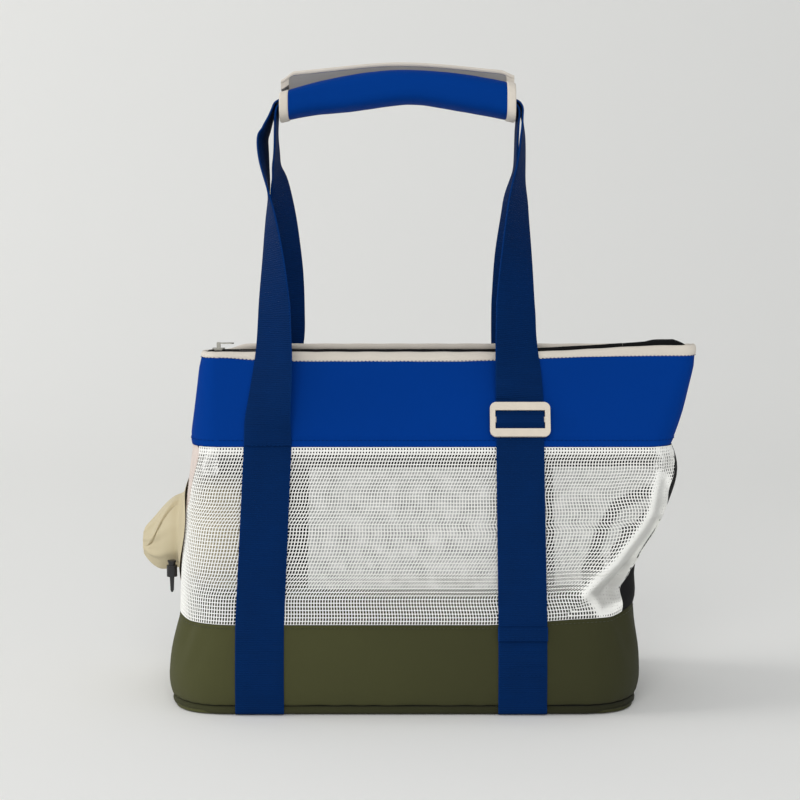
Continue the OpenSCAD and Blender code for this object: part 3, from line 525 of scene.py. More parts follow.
class Look:
    """A procedural material: small helpers round one Principled shader."""
    def __init__(self, name, **fixed):
        self.mat = bpy.data.materials.new(name)
        self.mat.use_nodes = True
        self.tree = self.mat.node_tree
        self.bsdf = self.tree.nodes["Principled BSDF"]
        for k, v in fixed.items():
            self.bsdf.inputs[k.replace("_", " ")].default_value = v

    def node(self, kind, ins=None, out=0, **attrs):
        n = self.tree.nodes.new("ShaderNode" + kind)
        for k, v in attrs.items():
            setattr(n, k, v)
        for k, v in (ins or {}).items():
            if isinstance(v, bpy.types.NodeSocket):
                self.tree.links.new(v, n.inputs[k])
            else:
                n.inputs[k].default_value = v
        return n.outputs[out]

    def calc(self, op, a, b=0.0, c=0.0):
        return self.node("Math", {0: a, 1: b, 2: c}, operation=op)

    def times(self, a, b, plus=0.0):
        return self.calc("MULTIPLY_ADD", a, b, plus)

    def coords(self, uv):
        return self.node("UVMap", uv_map="metres") if uv else self.node("TexCoord", out="Object")

    def noise(self, vec, per_mm, detail=3, rough=0.55, stretch=None):
        if stretch:
            vec = self.node("Mapping", {"Vector": vec, "Scale": stretch})
        return self.node("TexNoise", {"Vector": vec, "Scale": per_mm / MM, "Detail": detail,
            "Roughness": rough})

    def threads(self, axis, pitch):
        return self.calc("SINE", self.times(axis, 2 * pi / (pitch * MM)))

    def mixed(self, fac, a, b):
        return self.node("Mix", {0: fac, 6: a, 7: b}, 2, data_type="RGBA")

    def finish(self, colour, height, depth, rough):
        bump_node = self.node("Bump", {"Height": height, "Strength": 1.0, "Distance": depth * MM})
        for socket, value in (("Base Color", colour), ("Normal", bump_node), ("Roughness", rough)):
            self.tree.links.new(value, self.bsdf.inputs[socket])
        return self.mat


def cloth(name, rgb, pitch=0.7, kind="plain", depth=0.1, rough=0.85, uv=True, low=0.86, high=1.1, mottle=0.03,
        sheen=0.15, edge=None, shine=0.22, gaps=False, blotch=1.0, fade=None):
    """Woven cloth of plain, twill or webbing threads, pitch apart. low and high are its darkest and palest
    tones, edge the half width at which a webbing is worn pale, and the last argument the tone of a painted shade that
    darkens the cloth towards the object's right, where less light falls."""
    s = Look(name, Sheen_Weight=sheen, Sheen_Roughness=0.5, Specular_IOR_Level=shine)
    vec = s.coords(uv)
    parts = s.node("SeparateXYZ", {0: vec}).node
    u, v = parts.outputs[0], parts.outputs[1 if uv else 2]
    if kind == "webbing":
        ribs = s.threads(s.calc("ADD", v, s.times(s.calc("PINGPONG", u, 0.0024), 0.1)), pitch)
        h = s.times(ribs, s.times(s.threads(u, 1.2), 0.25, 0.75))
    elif kind == "twill":
        h = s.threads(s.calc("ADD", u, v), pitch)
    else:
        h = s.times(s.threads(u, pitch), s.threads(v, pitch))
    h = s.times(h, 0.5, 0.5)
    patch = s.noise(vec, mottle)
    slub = s.noise(vec, 0.5, 2, stretch=(0.06, 1, 1) if kind == "webbing" else (1, 0.15, 1))
    uneven = s.times(patch, 0.55 * blotch, 0.275 * (1 - blotch))
    fac = s.calc("ADD", s.times(h, 0.25), s.times(slub, 0.2, uneven))
    colour = s.mixed(fac, tone(rgb, low), tone(rgb, high))
    if edge:
        band = 0.9
        off_edge = s.times(s.calc("ABSOLUTE", u), 1 / (band * MM), -(edge - band) / band)
        worn = s.calc("SMOOTH_MIN", s.calc("MAXIMUM", off_edge, 0.0), 1.0, 0.1)
        colour = s.mixed(s.times(worn, 0.3), colour, tone(rgb, 1.7))
    # painted shade: the colour darkens towards the object's right, as where less light falls
    if fade:
        along_x = s.node("SeparateXYZ", {0: s.coords(False)})
        t = s.node("MapRange", {"Value": along_x, "From Min": -0.2, "From Max": 0.2})
        colour = s.mixed(t, colour, tone(rgb, fade))
    # painted shade: darkens the colour by the shade stored on the mesh's points
    if gaps:
        colour = s.mixed(s.node("Attribute", attribute_name="shade", out=2), colour, tone(rgb, 0.12))
    return s.finish(colour, s.calc("ADD", h, s.times(slub, 0.5)), depth, s.times(patch, 0.16, rough - 0.08))


def thread(name, rgb, **kw):
    return cloth(name, rgb, 0.4, "twill", depth=0.12, rough=0.8, uv=False, **kw)


def hard(name, rgb, rough, metal=0.0):
    """Moulded plastic or cast metal, with a fine grain and handling marks."""
    s = Look(name, Metallic=metal)
    vec = s.coords(False)
    marks = s.noise(vec, 0.12, 4)
    colour = s.mixed(marks, tone(rgb, 0.93), tone(rgb, 1.05))
    return s.finish(colour, s.noise(vec, 1.2, 3, 0.7), 0.02, s.times(marks, 0.25, rough - 0.12))


NYLON = dict(pitch=0.55, depth=0.06, rough=0.7, low=0.93, high=1.06, sheen=0.0, shine=0.03)
# the olive cloth and its piping carry a painted shade that darkens them towards the right
OLIVE = cloth("olive_oxford", (80, 81, 49), 0.6, rough=0.82, low=0.88, high=1.08, mottle=0.012, sheen=0.04,
    shine=0.14, fade=0.66)
OLIVE_EDGE = cloth("olive_piping", (66, 67, 42), 0.8, "twill", 0.15, sheen=0.04, shine=0.14, fade=0.6)
BLUE = cloth("blue_nylon", (0, 55, 139), mottle=0.008, **NYLON)
BLUE_WRAP = cloth("blue_wrap", (0, 55, 136), mottle=0.012, **NYLON)
NAVY = cloth("navy_webbing", (3, 37, 84), 1.7, "webbing", 0.28, 0.75, low=0.78, high=1.2, mottle=0.02,
    edge=19, sheen=0.0, shine=0.04)
CREAM = cloth("cream_binding", (226, 218, 206), 0.9, "twill", 0.14, low=0.95, high=1.03)
# the mesh threads darken by the painted shade stored over the front's fold
WHITE = cloth("white_mesh_threads", (252, 252, 248), 0.5, depth=0.05, rough=0.6, low=0.98, high=1.01,
    sheen=0.05, gaps=True)
BLACK = cloth("black_cloth", (26, 26, 27), 0.8, sheen=0.02, shine=0.1)
LINING = cloth("black_lining", (17, 17, 19), 0.8, rough=0.9, sheen=0.0)
PANEL = cloth("cream_panel", (222, 208, 200), 0.6, depth=0.08, rough=0.8, low=0.95, high=1.03)
# the pocket cloth darkens along painted shadow lines stored on its points
POCKET = cloth("pocket_cloth", (244, 244, 240), depth=0.08, low=0.45, high=1.4, mottle=0.085, gaps=True,
    blotch=2.2)
BEIGE = cloth("beige_nylon", (202, 190, 158), 0.5, depth=0.05, rough=0.58, low=0.94, high=1.05, mottle=0.02,
    sheen=0.04)
TAPE = cloth("zip_tape", (24, 24, 25), 0.7, "twill", 0.12, 0.9, sheen=0.0, shine=0.08)
HOOK = cloth("hook_tape", (166, 163, 160), 1.3, depth=0.5, rough=0.95, low=0.8)
LOOP = cloth("loop_tape", (160, 158, 156), 1.0, depth=0.4, rough=0.98, low=0.85, sheen=0.5)
MAT = cloth("mat_fleece", (214, 196, 168), 1.6, depth=0.5, rough=0.95, sheen=0.4)
THREAD_BLUE = thread("blue_thread", (2, 46, 116), sheen=0.0, shine=0.04)
THREAD_NAVY = thread("navy_thread", (8, 50, 108), sheen=0.0, shine=0.04)
THREAD_OLIVE = thread("olive_thread", (64, 66, 44))
CORD = cloth("drawcord", (38, 38, 44), 1.0, "twill", 0.3, 0.8, uv=False)
NICKEL = hard("nickel", (168, 166, 158), 0.3, 1.0)
STEEL = hard("spring_steel", (150, 150, 150), 0.35, 1.0)
IVORY = hard("ivory_plastic", (216, 205, 188), 0.42)
TEETH = hard("zip_teeth", (24, 24, 26), 0.5)
BLACK_PLASTIC = hard("black_plastic", (26, 26, 28), 0.4)
BOARD = hard("board", (58, 58, 56), 0.6)

# the pieces that show the CAD's own mesh, with the width of their rounded edges
for node, mat, rounded in (
        ("base_board", BOARD, 0.6), ("zip_slider", NICKEL, 0.25), ("zip_pull", NICKEL, 0.25),
        ("front_adjuster", IVORY, 0.8), ("rear_adjuster", IVORY, 0.8), ("collar_cord", CORD, 0.25),
        ("cord_lock", BLACK_PLASTIC, 0.25), ("cord_lock_button", BLACK_PLASTIC, 0.25),
        ("cord_lock_spring", STEEL, 0), ("cord_end", BLACK_PLASTIC, 0.25)):
    ob = frame["nodes"][node]
    ob.data.materials.clear()
    ob.data.materials.append(mat)
    if rounded:
        bevel = ob.modifiers.new("edges", "BEVEL")
        bevel.width, bevel.segments, bevel.limit_method = rounded * MM, 3, "ANGLE"
        bevel.angle_limit = radians(40)

# ---- Base ----
def by_strap(x, y):
    """0 under the webbing and 1 clear of it, so that nothing swells through a strap."""
    if abs(y) < 30:
        return 1
    return min(ease((abs(x - w) - 21) / 8) for w in (LEFT_WEB + 2, RIGHT_WEB))


def base_point(z, p, inset):
    x, y, up = on_bag(z, p, inset)
    free = by_strap(x, y)
    pucker = exp(-(z - 6.8) / 6) * (0.5 + 0.5 * math.sin(p * 61 + 2 * math.sin(p * 17))) * 1.1
    pucker += 0.5 * exp(-(BASE_H - z) / 4) * (0.5 + 0.5 * math.sin(p * 83))
    billow = 0.8 * wave(x * 0.035 + y * 0.05, z * 0.06) * math.sin(pi * clamp((z - 7) / 63))
    billow += 0.9 * math.sin((abs(x) + 0.35 * z) * 0.42) * ease((abs(x) - 145) / 25) * ease((z - 20) / 40)
    k = inset + pucker - billow * free if free > 0 else inset + 0.15
    x, y = outline(z, p, max(k, inset) if free < 0.5 else k)
    return (x, y, up)


# the base's wall as (height, inset): the outside, then back down inside
WALL_OUT = [(6.9, 1.6), (7.3, 0.5),
    *((z, 0) for z in (8.5, 10, 12, 15, 19, 24, 30, 36, 42, 48, 54, 60, 64, 67, 69)),
    (69.8, 0.3), (70.1, 1.2)]
WALL_IN = [(70.1, 5), (69, 6.6), (50, 7), (25, 7), (8, 7), (6.9, 5.5)]
ps = around(22, 70)
base = loft("base_panel", [[base_point(z, p, o) for p in ps] for z, o in WALL_OUT]
    + [[on_bag(z, p, o) for p in ps] for z, o in WALL_IN], OLIVE, "bag", ("base_wall",), wrap_v=True)
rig.padded(base, 0.85)


def bottom_seam():
    """The corded seam round the bottom edge, with small lumps; thick and tall are half its section."""
    z, inset, thick, tall, rows = 3.5, 0.7, 2.0, 3.1, []
    for k, p in enumerate(around(24, 90)):
        x, y = outline(z, p, inset)
        x2, y2 = outline(z, p, inset + 1)
        nx, ny = x - x2, y - y2
        s = hypot(nx, ny) or 1
        r = thick * (1 + 0.15 * math.sin(k * 1.9) * (0.5 + 0.5 * math.sin(k * 0.31)))
        rows.append([(x + nx / s * r * cos(a), y + ny / s * r * cos(a), z + lift(x, z) + tall * sin(a))
            for a in range(0, 360, 36)])
    loft("bottom_seam", rows, OLIVE_EDGE, "bag", ("base_piping",), wrap_v=True)


bottom_seam()


def plate(name, l, r, half, low, high, mat, rep, n=60, m=24):
    """A panel with the base's outline between the heights low(x, y, edge) and high(x, y, edge)."""
    c = CORNER - 12

    def place(x, t, height):
        e = max(0, l + c - x, x - r + c)
        y = (half - c + sqrt(max(0, c * c - e * e))) * t
        return (x, y, height(x, y, max(abs(t), abs(2 * (x - l) / (r - l) - 1))))

    xs = [mix(l, r, 0.5 - 0.5 * math.cos(pi * i / n)) for i in range(n + 1)]
    ts = [math.sin(pi / 2 * t) for t in steps(-1, 1, m)]
    return shell(name, *layers(xs, ts, place, (low, high)), mat, "bag", rep)


def strap_slot(x):
    return max(ease((20.5 - abs(x - w)) / 1.5) for w in (LEFT_WEB, RIGHT_WEB))


def bottom_low(x, y, edge):
    return 0.02 + 1.85 * strap_slot(x) + 0.8 * ease((edge - 0.97) / 0.03)


MAT_W, MAT_D = 168, 75


def quilt(q, half, pitch):
    """The depth of the quilting lines across the mat."""
    return 1.2 * max(0, 1 - abs((q + half) % pitch - pitch / 2) / 3)


def mat_top(x, y, edge):
    return 16.6 - 5.5 * ease((edge - 0.8) / 0.2) ** 2 - quilt(x, MAT_W, 56) - quilt(y, MAT_D, 50)


plate("bottom_panel", -(HALF_W - CROWN) - 2, HALF_W - CROWN + 1.5, HALF_D - 1.4, bottom_low,
    lambda x, y, edge: 2.95, OLIVE, ("base_bottom",))
pet_mat = plate("pet_mat", -MAT_W, MAT_W, MAT_D, lambda x, y, edge: 5.2 + 2 * ease((edge - 0.9) / 0.1),
    mat_top, MAT, ("base_mat",), n=120, m=60)
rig.padded(pet_mat, 0.7)

# ---- Mesh walls ----
# the fold at the right of the front, as (x, z): its near edge, and the far edge of the flat cloth beyond it
RIDGE = [(135, 86), (143, 96), (167, 117), (186, 140), (195, 152), (199, 170), (203, 187)]
FAR_EDGE = [(204, 184), (213, 171), (212, 163), (207, 146), (188, 121), (177, 100), (175, 89), (166, 82),
    (154, 79)]
SMOOTH = spline([(149, 86), (144, 93)] + RIDGE[1:6] + FAR_EDGE, 4)
SMOOTH_RIM = SMOOTH[::3] + SMOOTH[:1]
SOFT_RIM = 6


def tuck(x, z):
    """How far the front is folded in beyond the ridge."""
    d = off_line((x, z), RIDGE)
    over = 15 * ease(d / 13.4) - 3.5 * bump(d, 0, 7.1)
    return over * between(z, 74, 16, 194, 24)


def arc_place(z, f, p0, p1):
    """The p at the fraction f of the way from p0, in the corner before the front, to p1 in the next."""
    c = corner(z) * pi / 2
    mid = right_end(z) - left_end(z) - 2 * corner(z)
    a, b = -p0 * c, (p1 - 1) * c
    s = f * (a + mid + b)
    return (s - a) / c if s < a else (s - a) / mid if s < a + mid else 1 + (s - a - mid) / c


def swell(z, size, a, b):
    """How far the mesh swells between its hems."""
    return size * (1 + wave(a, b)) * between(z, 72, 20, 202, 12)


def front_point(z, f):
    p = arc_place(z, f, left_seam(z) - 8, right_seam(z))
    x, y, up = on_bag(z, p, 0.2)
    held = ease((right_seam(z) - p) * corner(z) * pi / 32)
    return (x, y + swell(z, 0.9, x * 0.05, z * 0.045) + tuck(x, up) * held, up)


def rear_point(z, f):
    p = arc_place(z, 1 - f, left_seam(z) - 8, rear_seam(z))
    x, y, up = on_bag(z, 5 - p, 0.2)
    return (x, y - swell(z, 1.1, x * 0.04, z * 0.05), up)


COLUMNS, ROWS = 168, 50
CELL_W, CELL_H = 2.4, 2.7
HOLE_W, HOLE_H, THREAD_DEPTHS = 0.65, 0.75, (0.25, 0.8)


def lattice(name, point, solid, rep):
    """An open weave: each cell is a square of threads round a hole with depth, closed where solid is 1."""
    grid = [[Vector(point(z, f)) for f in steps(0, 1, COLUMNS)] for z in steps(WALL_LOW, BAND_Z - 0.1, ROWS)]
    verts = [tuple(p) for r in grid for p in r]
    faces, uvs = [], []
    n = COLUMNS + 1
    for i in range(ROWS):
        for j in range(COLUMNS):
            a, b, c, d = grid[i][j], grid[i][j + 1], grid[i + 1][j + 1], grid[i + 1][j]
            q = (i * n + j, i * n + j + 1, (i + 1) * n + j + 1, (i + 1) * n + j)
            quad = [(x * CELL_W, z * CELL_H) for x, z in ((j, i), (j + 1, i), (j + 1, i + 1), (j, i + 1))]
            mid = (a + b + c + d) / 4
            s = solid(mid)
            if s >= 1:
                faces.append(q)
                uvs += quad
                continue
            normal = (b - a).cross(d - a).normalized()
            kx, kz = HOLE_W * (1 - s), HOLE_H * (1 - s)
            half_x, half_z = (b + c - a - d) / 4 * kx, (c + d - a - b) / 4 * kz
            k = len(verts)
            for depth in THREAD_DEPTHS:
                verts += [tuple(mid + half_x * sx + half_z * sz - normal * depth)
                    for sx, sz in ((-1, -1), (1, -1), (1, 1), (-1, 1))]
            small = [(mix((j + 0.5) * CELL_W, x, kx), mix((i + 0.5) * CELL_H, z, kz)) for x, z in quad]
            for e in range(4):
                f = (e + 1) % 4
                faces += [(q[e], q[f], k + f, k + e), (k + e, k + f, k + 4 + f, k + 4 + e)]
                uvs += [quad[e], quad[f], small[f], small[e], small[e], small[f], small[f], small[e]]
    return add(name, verts, faces, WHITE, "bag", rep, uvs, sharp=75, closed=False)


def hem_solid(p):
    return 0.3 * ease((p.z - 196) / 4)


def front_solid(p):
    """Nearly closed where the fold is drawn flat, and opening again just beyond it."""
    q = (p.x, p.z)
    if within(q, SMOOTH):
        return 0.7
    return max(hem_solid(p), 0.95 * ease(1 - abs(off_line(q, SMOOTH_RIM)) / SOFT_RIM))


def fold_shade(q):
    if not within(q, SMOOTH):
        return 0
    return (0.2 + 0.22 * ease((112 - q[1]) / 24)) * ease(abs(off_line(q, SMOOTH_RIM)) / 4)


def paint(ob, shade):
    """Stores shade((x, z)) at each vertex as painted shade, for the materials that darken by it."""
    layer = ob.data.attributes.new("shade", "FLOAT", "POINT")
    for v in ob.data.vertices:
        layer.data[v.index].value = shade((v.co.x / MM, v.co.z / MM))


paint(lattice("front_mesh_wall", front_point, front_solid, ("front_mesh",)), fold_shade)
lattice("rear_mesh_wall", rear_point, hem_solid, ("rear_mesh",))

# ---- Side panels, lining and pockets ----
def side_x(y, z):
    c = corner(z)
    e = max(0, abs(y) - (half_d(z) - c))
    return left_end(z) + c - sqrt(max(0, c * c - e * e))


def panel_ray(a):
    """How far the left panel reaches from the head hole's middle at an angle, found by halving."""
    dy, dz = cos(a), sin(a)
    lo, hi = HEAD_R, 140
    for _ in range(30):
        t = (lo + hi) / 2
        y, z = dy * t, HEAD_Z + dz * t
        inside = WALL_LOW < z < WALL_TOP and abs(y) < abs(outline(z, left_seam(z), 0.2)[1])
        lo, hi = (t, hi) if inside else (lo, t)
    return lo


PANEL_RINGS, PANEL_TURNS = 14, 128


def panel_place(k, j, depth):
    a = 360 * j / PANEL_TURNS
    t = mix(HEAD_R, panel_ray(a), k / PANEL_RINGS)
    y, z = t * cos(a), HEAD_Z + t * sin(a)
    dip = 0.7 * (1 + wave(y * 0.06, z * 0.05)) * math.sin(pi * k / PANEL_RINGS)
    return (side_x(y, z) + 0.2 + depth + dip, y, z)


def flat_size(rows, at=0):
    """The mean width of a grid of places and its height along one column, in metres, as the flat size."""
    wide = sum(sum(dist(a, b) for a, b in zip(r, r[1:])) for r in rows) / len(rows)
    high = sum(dist(a[at], b[at]) for a, b in zip(rows, rows[1:]))
    return round(wide * MM, 3), round(high * MM, 3)


left_panel = shell("left_panel", *layers(range(PANEL_RINGS + 1), range(PANEL_TURNS), panel_place, (0, 0.8)),
    PANEL, "bag", ("left_side_panel",), wrap=True)
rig.sheet(left_panel, flat=(0.084, 0.142), area=sum(f.area for f in left_panel.data.polygons) / 2,
    held="stretched", rests_on=["front_mesh_wall", "base_panel"])


def wall_rows(p0, p1, insets, sag):
    """Grids on the walls from p0(z) to p1(z), which sag inwards between their edges."""
    def place(z, f, inset):
        p = mix(p0(z), p1(z), f)
        dip = sag * (1 + wave(p * 6, z * 0.05)) * between(z, WALL_LOW, 15, WALL_TOP, 15)
        return on_bag(z, p, inset + dip)
    return layers(steps(WALL_LOW, WALL_TOP, 26), steps(0, 1, 30), place, insets)


right_rows = wall_rows(right_seam, lambda z: 5 - rear_seam(z), (0.2, 1), 0.8)
right_panel = shell("right_panel", *right_rows, BLACK, "bag", ("right_side_panel",))
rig.sheet(right_panel, flat=flat_size(right_rows[0], 20), held="stretched",
    rests_on=["front_mesh_wall", "base_panel"])
lining = shell("rear_lining_cloth", *wall_rows(lambda z: 3.46, lambda z: 5.3, (4, 4.6), 1), LINING, "bag",
    ("rear_lining",))
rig.sheet(lining, flat=(0.37, 0.142), held="stretched", rests_on=["rear_mesh_wall"])


def front_p(x, z):
    """The outline's p where the front has a given x."""
    l, r, c = left_end(z), right_end(z), corner(z)
    if x <= r - c:
        return (x - l - c) / (r - l - 2 * c)
    return 1 + degrees(asin(clamp((x - r + c) / c, 0, 0.99))) / 90


# painted shadow lines on the pocket cloth, for the dark gaps that the inner pocket's rounded edges leave behind the
# mesh: lines of (x, z) and their half widths
GAP_SHADOWS = [([(193, 170), (168, 159), (156, 141), (149, 122), (147, 101)], 5.1),
    ([(193, 146), (174, 141), (173, 122)], 3.6), ([(148, 122), (142, 110), (145, 96)], 3.9)]


def pocket(name, left, right, rep, n=40, m=24, gaps=()):
    """A pocket of cloth behind the front mesh, from left(z) to right(z)."""
    def place(z, f, depth):
        x, y = outline(z, mix(front_p(left(z), z), front_p(right(z), z), f), 4.4 + depth)
        up = z + lift(x, z)
        return (x, y + 0.8 * wave(x * 0.08, z * 0.07) + tuck(x, up), up)
    outer, inner = layers(steps(96, 188, m), steps(0, 1, n), place, (0, 0.8))
    ob = shell(name, outer, inner, POCKET, "bag", rep)
    # paints the shadow lines onto the pocket cloth as shade
    paint(ob, lambda q: max([1 - ease((abs(off_line(q, line)) - w + 1.6) / 2.4) for line, w in gaps] + [0]))
    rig.sheet(ob, flat=flat_size(outer), held="hung", rests_on=["front_mesh_wall"])


pocket("large_pocket_cloth", lambda z: -76, lambda z: 112, ("large_pocket",))
pocket("small_pocket_cloth", lambda z: 118, lambda z: mix(146, 199, ease((z - 100) / 66)),
    ("small_pocket",), n=70, m=80, gaps=GAP_SHADOWS)

# ---- Band, binding and zip ----
def rear_share(p):
    """1 along the rear, where the rim stands highest."""
    return between(p % 8, 3.0, 0.7, 4.99, 0.05)


def right_share(x):
    return ease((x - 90) / 130)


def deeper(x):
    """How much further the binding reaches down in the middle of the front."""
    return 2.9 * between(x, -150, 50, 150, 120)


def rim_low(x, p):
    return mix(1.2 * right_share(x), 4.6, rear_share(p))


def rim_top(x, p):
    return mix(5.3 * right_share(x), 4.6, rear_share(p))


def band_point(z, p, inset):
    x, y = outline(z, p, inset)
    dip = 0.45 * (1 + wave(x * 0.03 + y * 0.02, z * 0.05)) * math.sin(pi * clamp(band01(z)))
    pinch = 1.6 * bump(p % 8, 2.2, 0.5) * bump(z, BAND_Z, 5)
    x, y = outline(z, p, inset + dip + pinch)
    return (x, y, z + rim_low(x, p) * ease((z - 235) / 35))


# the band as (height, inset): the outside, then back down inside
BAND_OUT = [(204.1, 1.4), (204, 0.5), (204.5, -0.1), (207, -0.3), (210.4, -0.2), (211, 0.25), (213, 0.15),
    *((z, 0.05) for z in (218, 224, 231, 238, 245, 252, 259, 265, 270, 273.5))]
BAND_IN = [(273.5, 2), (250, 2.2), (225, 2.2), (206, 2.1)]
loft("blue_band", [[band_point(z, p, o) for p in around(14, 60)] for z, o in BAND_OUT + BAND_IN], BLUE, "bag",
    ("front_band", "rear_band"), wrap_v=True)


def binding_at(p, a, grow=0.0):
    """A place on the rounded binding of the mouth, a turning from the outside over the top."""
    inset = clamp(0.9 - (1.7 + grow) * cos(a), -0.8 - grow, 2.6)
    x = outline(MOUTH_Z - 1, p, inset)[0]
    low, top = 272.8 + rim_low(x, p) - deeper(x) * (1 - rear_share(p)), 278 + rim_top(x, p)
    z = (low + top) / 2 + ((top - low) / 2 + grow) * sin(a)
    return (*outline(min(MOUTH_Z - 1, z), p, inset), z)


loft("mouth_binding", [[tuple(Vector(binding_at(p, a)) + Vector((0, 0, 0.12 * math.sin(j * 0.9))))
    for j, p in enumerate(around(16, 90))] for a in range(0, 360, 24)],
    CREAM, "bag", ("front_binding", "rear_binding"), wrap_v=True)

# the top of the zip's tape as (x, z)
ZIP_LINE = [(-160, 277.6), (-140, 277.4), (-126, 276.9), (-100, 278), (-80, 278.7), (60, 278.8), (100, 279.6),
    (124, 281), (160, 283), (190, 285.2), (206, 286.2), (219, 286.4), (226, 283.8), (229, 281)]


def zip_z(x):
    return table(x, ZIP_LINE, lambda t: t)


CHAIN_Z = 277.6


def chain_z(x):
    """The chain lies level as far as the slider runs, and only the zip's end rises."""
    return mix(min(CHAIN_Z, zip_z(x)), zip_z(x), ease((x - 191) / 13))


def tape_z(x, y):
    """The tape stands up in a soft ridge on each side of the slider's way."""
    edge = 277 + (0.8 if y > 0 else 0) + 2 * right_share(x)
    high = mix(min(zip_z(x), edge + 0.4), zip_z(x), ease((x - 178) / 26)) if y > 0 else zip_z(x)
    ridge = mix(edge, high, ease((10.7 - abs(y)) / 4.5)) + 0.1 * wave(x * 0.2)
    return mix(ridge, chain_z(x), ease((6.1 - abs(y)) / 1.3))


ACROSS = (10.6, 9.4, 8.2, 7, 6.2, 5.5, 4.9, 3.4, 1.4)
FLAP_L, FLAP_R = -134.5, 176.5


def zip_tape(half, side):
    def place(x, y, up):
        return (x, side * y, tape_z(x, side * y) + up)
    shell(half + "_tape", *layers(steps(FLAP_L, FLAP_R, 150), ACROSS, place, (0.4, -0.3)), TAPE,
        half + "_mouth_flap", (half + "_zip_tape",))


zip_tape("front", -1)
zip_tape("rear", 1)


def block(verts, faces, centre, size):
    k = len(verts)
    for dz in (-1, 1):
        for dx, dy in ((-1, -1), (1, -1), (1, 1), (-1, 1)):
            verts.append(tuple(c + d * s / 2 for c, d, s in zip(centre, (dx, dy, dz), size)))
    faces += [(k, k + 3, k + 2, k + 1), (k + 4, k + 5, k + 6, k + 7)]
    faces += [(k + i, k + (i + 1) % 4, k + 4 + (i + 1) % 4, k + 4 + i) for i in range(4)]


TOOTH_PITCH = 2


def zip_teeth(half, side):
    """A comb of teeth, each a root and a head that reaches past the middle; the rear's stand between."""
    verts, faces = [], []
    x = FLAP_L + 1 + (TOOTH_PITCH / 2 if side > 0 else 0)
    while x < FLAP_R - 1:
        block(verts, faces, (x, side * 0.55, chain_z(x) + 0.1), (1.05, 3.2, 1.8))
        block(verts, faces, (x, -side * 0.75, chain_z(x) + 0.1), (1.45, 0.8, 1.9))
        x += TOOTH_PITCH
    add(half + "_zip_teeth_row", verts, faces, TEETH, half + "_mouth_flap", (half + "_zip_teeth",))


zip_teeth("front", -1)
zip_teeth("rear", 1)


def flat_tape(name, x0, x1, rep):
    """The tape beyond the flaps, which fills the mouth's rounded end."""
    def place(x, t, up):
        c = MOUTH_D - 1 - 2.6
        e = max(0, -MOUTH_L + 2.7 + c - x, x - (MOUTH_R - 2.7 - c))
        wide = min(10.6, 1 + sqrt(max(0.3, c * c - e * e)))
        return (x, wide * t, tape_z(x, wide * t) + up)
    shell(name, *layers(steps(x0, x1, 40), steps(-1, 1, 32), place, (0.4, -0.4)), TAPE, "bag", rep)


flat_tape("zip_start_tape", -159.3, FLAP_L - 0.3, ("zip_left_tab",))
flat_tape("zip_end_tape", FLAP_R + 0.3, 229, ("zip_right_tab",))

# ---- Webbing ----
LAYER1 = SEAT + WEB_T / 2
LAYER2 = LAYER1 + WEB_T + SEAT
SEWN_TOP = BAND_Z + 4
ROOT_Z, FREE_Z = ADJ_Z + ADJ_H / 2 + 4, 308


def web_x(x, z):
    return x + (4 * max(0, wall01(z)) if x < 0 else 0)


def front_run(x, top, bottom, off):
    """The middle of the webbing down the bag's front, off from its cloth, between two heights."""
    down = steps(BAND_Z, BASE_H, 12) + [62, 55, 47, 40, 32, FULL_Z, 19, 14]
    zs = [top, *(z for z in down if bottom + 1 < z < top - 1), bottom]
    return [(web_x(x, z), -(half_d(z) + off), z + lift(x, z), 0) for z in zs]


def behind(pts):
    """The same points at the rear."""
    return [(p[0], -p[1], p[2], p[3]) for p in pts]


def sewn(name, x, top_front, top_rear, rep):
    """The webbing sewn to the bag, from the front under the base to the rear."""
    out = half_d(6.6) + 1.4 + LAYER1 + 0.2
    turn = [(x, -out + inwards, z, 0) for inwards, z in (
        (0, 6.6), (0.15, 4.4), (0.5, 2.6), (1.2, 1.7), (2.2, 1.15), (4.6, WEB_T / 2 + 0.05))]
    front, rear = (front_run(x, top, 10, LAYER1) + turn for top in (top_front, top_rear))
    ribbon(name, front + behind(rear[::-1]), "bag", rep)


sewn("left_webbing_sewn", LEFT_WEB, SEWN_TOP, ADJ_Z + 12, ("left_webbing",))
sewn("right_webbing_sewn", RIGHT_WEB, ADJ_Z + 12, SEWN_TOP, ("right_webbing",))


def tail(name, x, side, rep):
    """The adjustable webbing's end, with its folded hem in the same mesh and its flat ends plain."""
    run = front_run(x, ROOT_Z - 2, TAIL_Z, LAYER2)
    hem = [(x, -(half_d(z) + LAYER2 + WEB_T * 0.95), z, 0)
        for z in (69.5, 68.8, 66.5, 64, 61.5, 59.8, TAIL_Z)]
    verts, faces, uvs = [], [], []
    for pts, w, t in ((run, WEB_W, WEB_T), (hem, WEB_W + 0.8, 1.7)):
        rows, uv_rows = ribbon_rows(behind(pts) if side > 0 else pts, w, t, -side)
        more_faces, more_uvs = tube_parts(rows, uv_rows, base=len(verts))
        verts += [p for r in rows for p in r]
        faces += more_faces
        ends = 2 * len(rows[0])
        uvs += more_uvs[:-ends] + [(0, 0)] * ends
    add(name, verts, faces, NAVY, "bag", rep, uvs, sharp=70)


tail("front_tail_web", RIGHT_WEB, -1, ("front_tail",))
tail("rear_tail_web", LEFT_WEB, 1, ("rear_tail",))

WRAP_L0, WRAP_LEN, WRAP_D, WRAP_H, WRAP_T, WRAP_ARCH, WRAP_Z = -99, 187, 25.5, 15, 4, 11, 477
WRAP_R0 = WRAP_L0 + WRAP_LEN
WRAP_MID = (WRAP_L0 + WRAP_R0) / 2
WEB_Y = 1.7


def arch(x):
    return WRAP_Z + WRAP_ARCH * (1 - ((x - WRAP_MID) / (WRAP_LEN / 2)) ** 2)


def in_wrap(up):
    return [(x, -WEB_Y, arch(x) + up, 90) for x in steps(-88, 77, 8)]


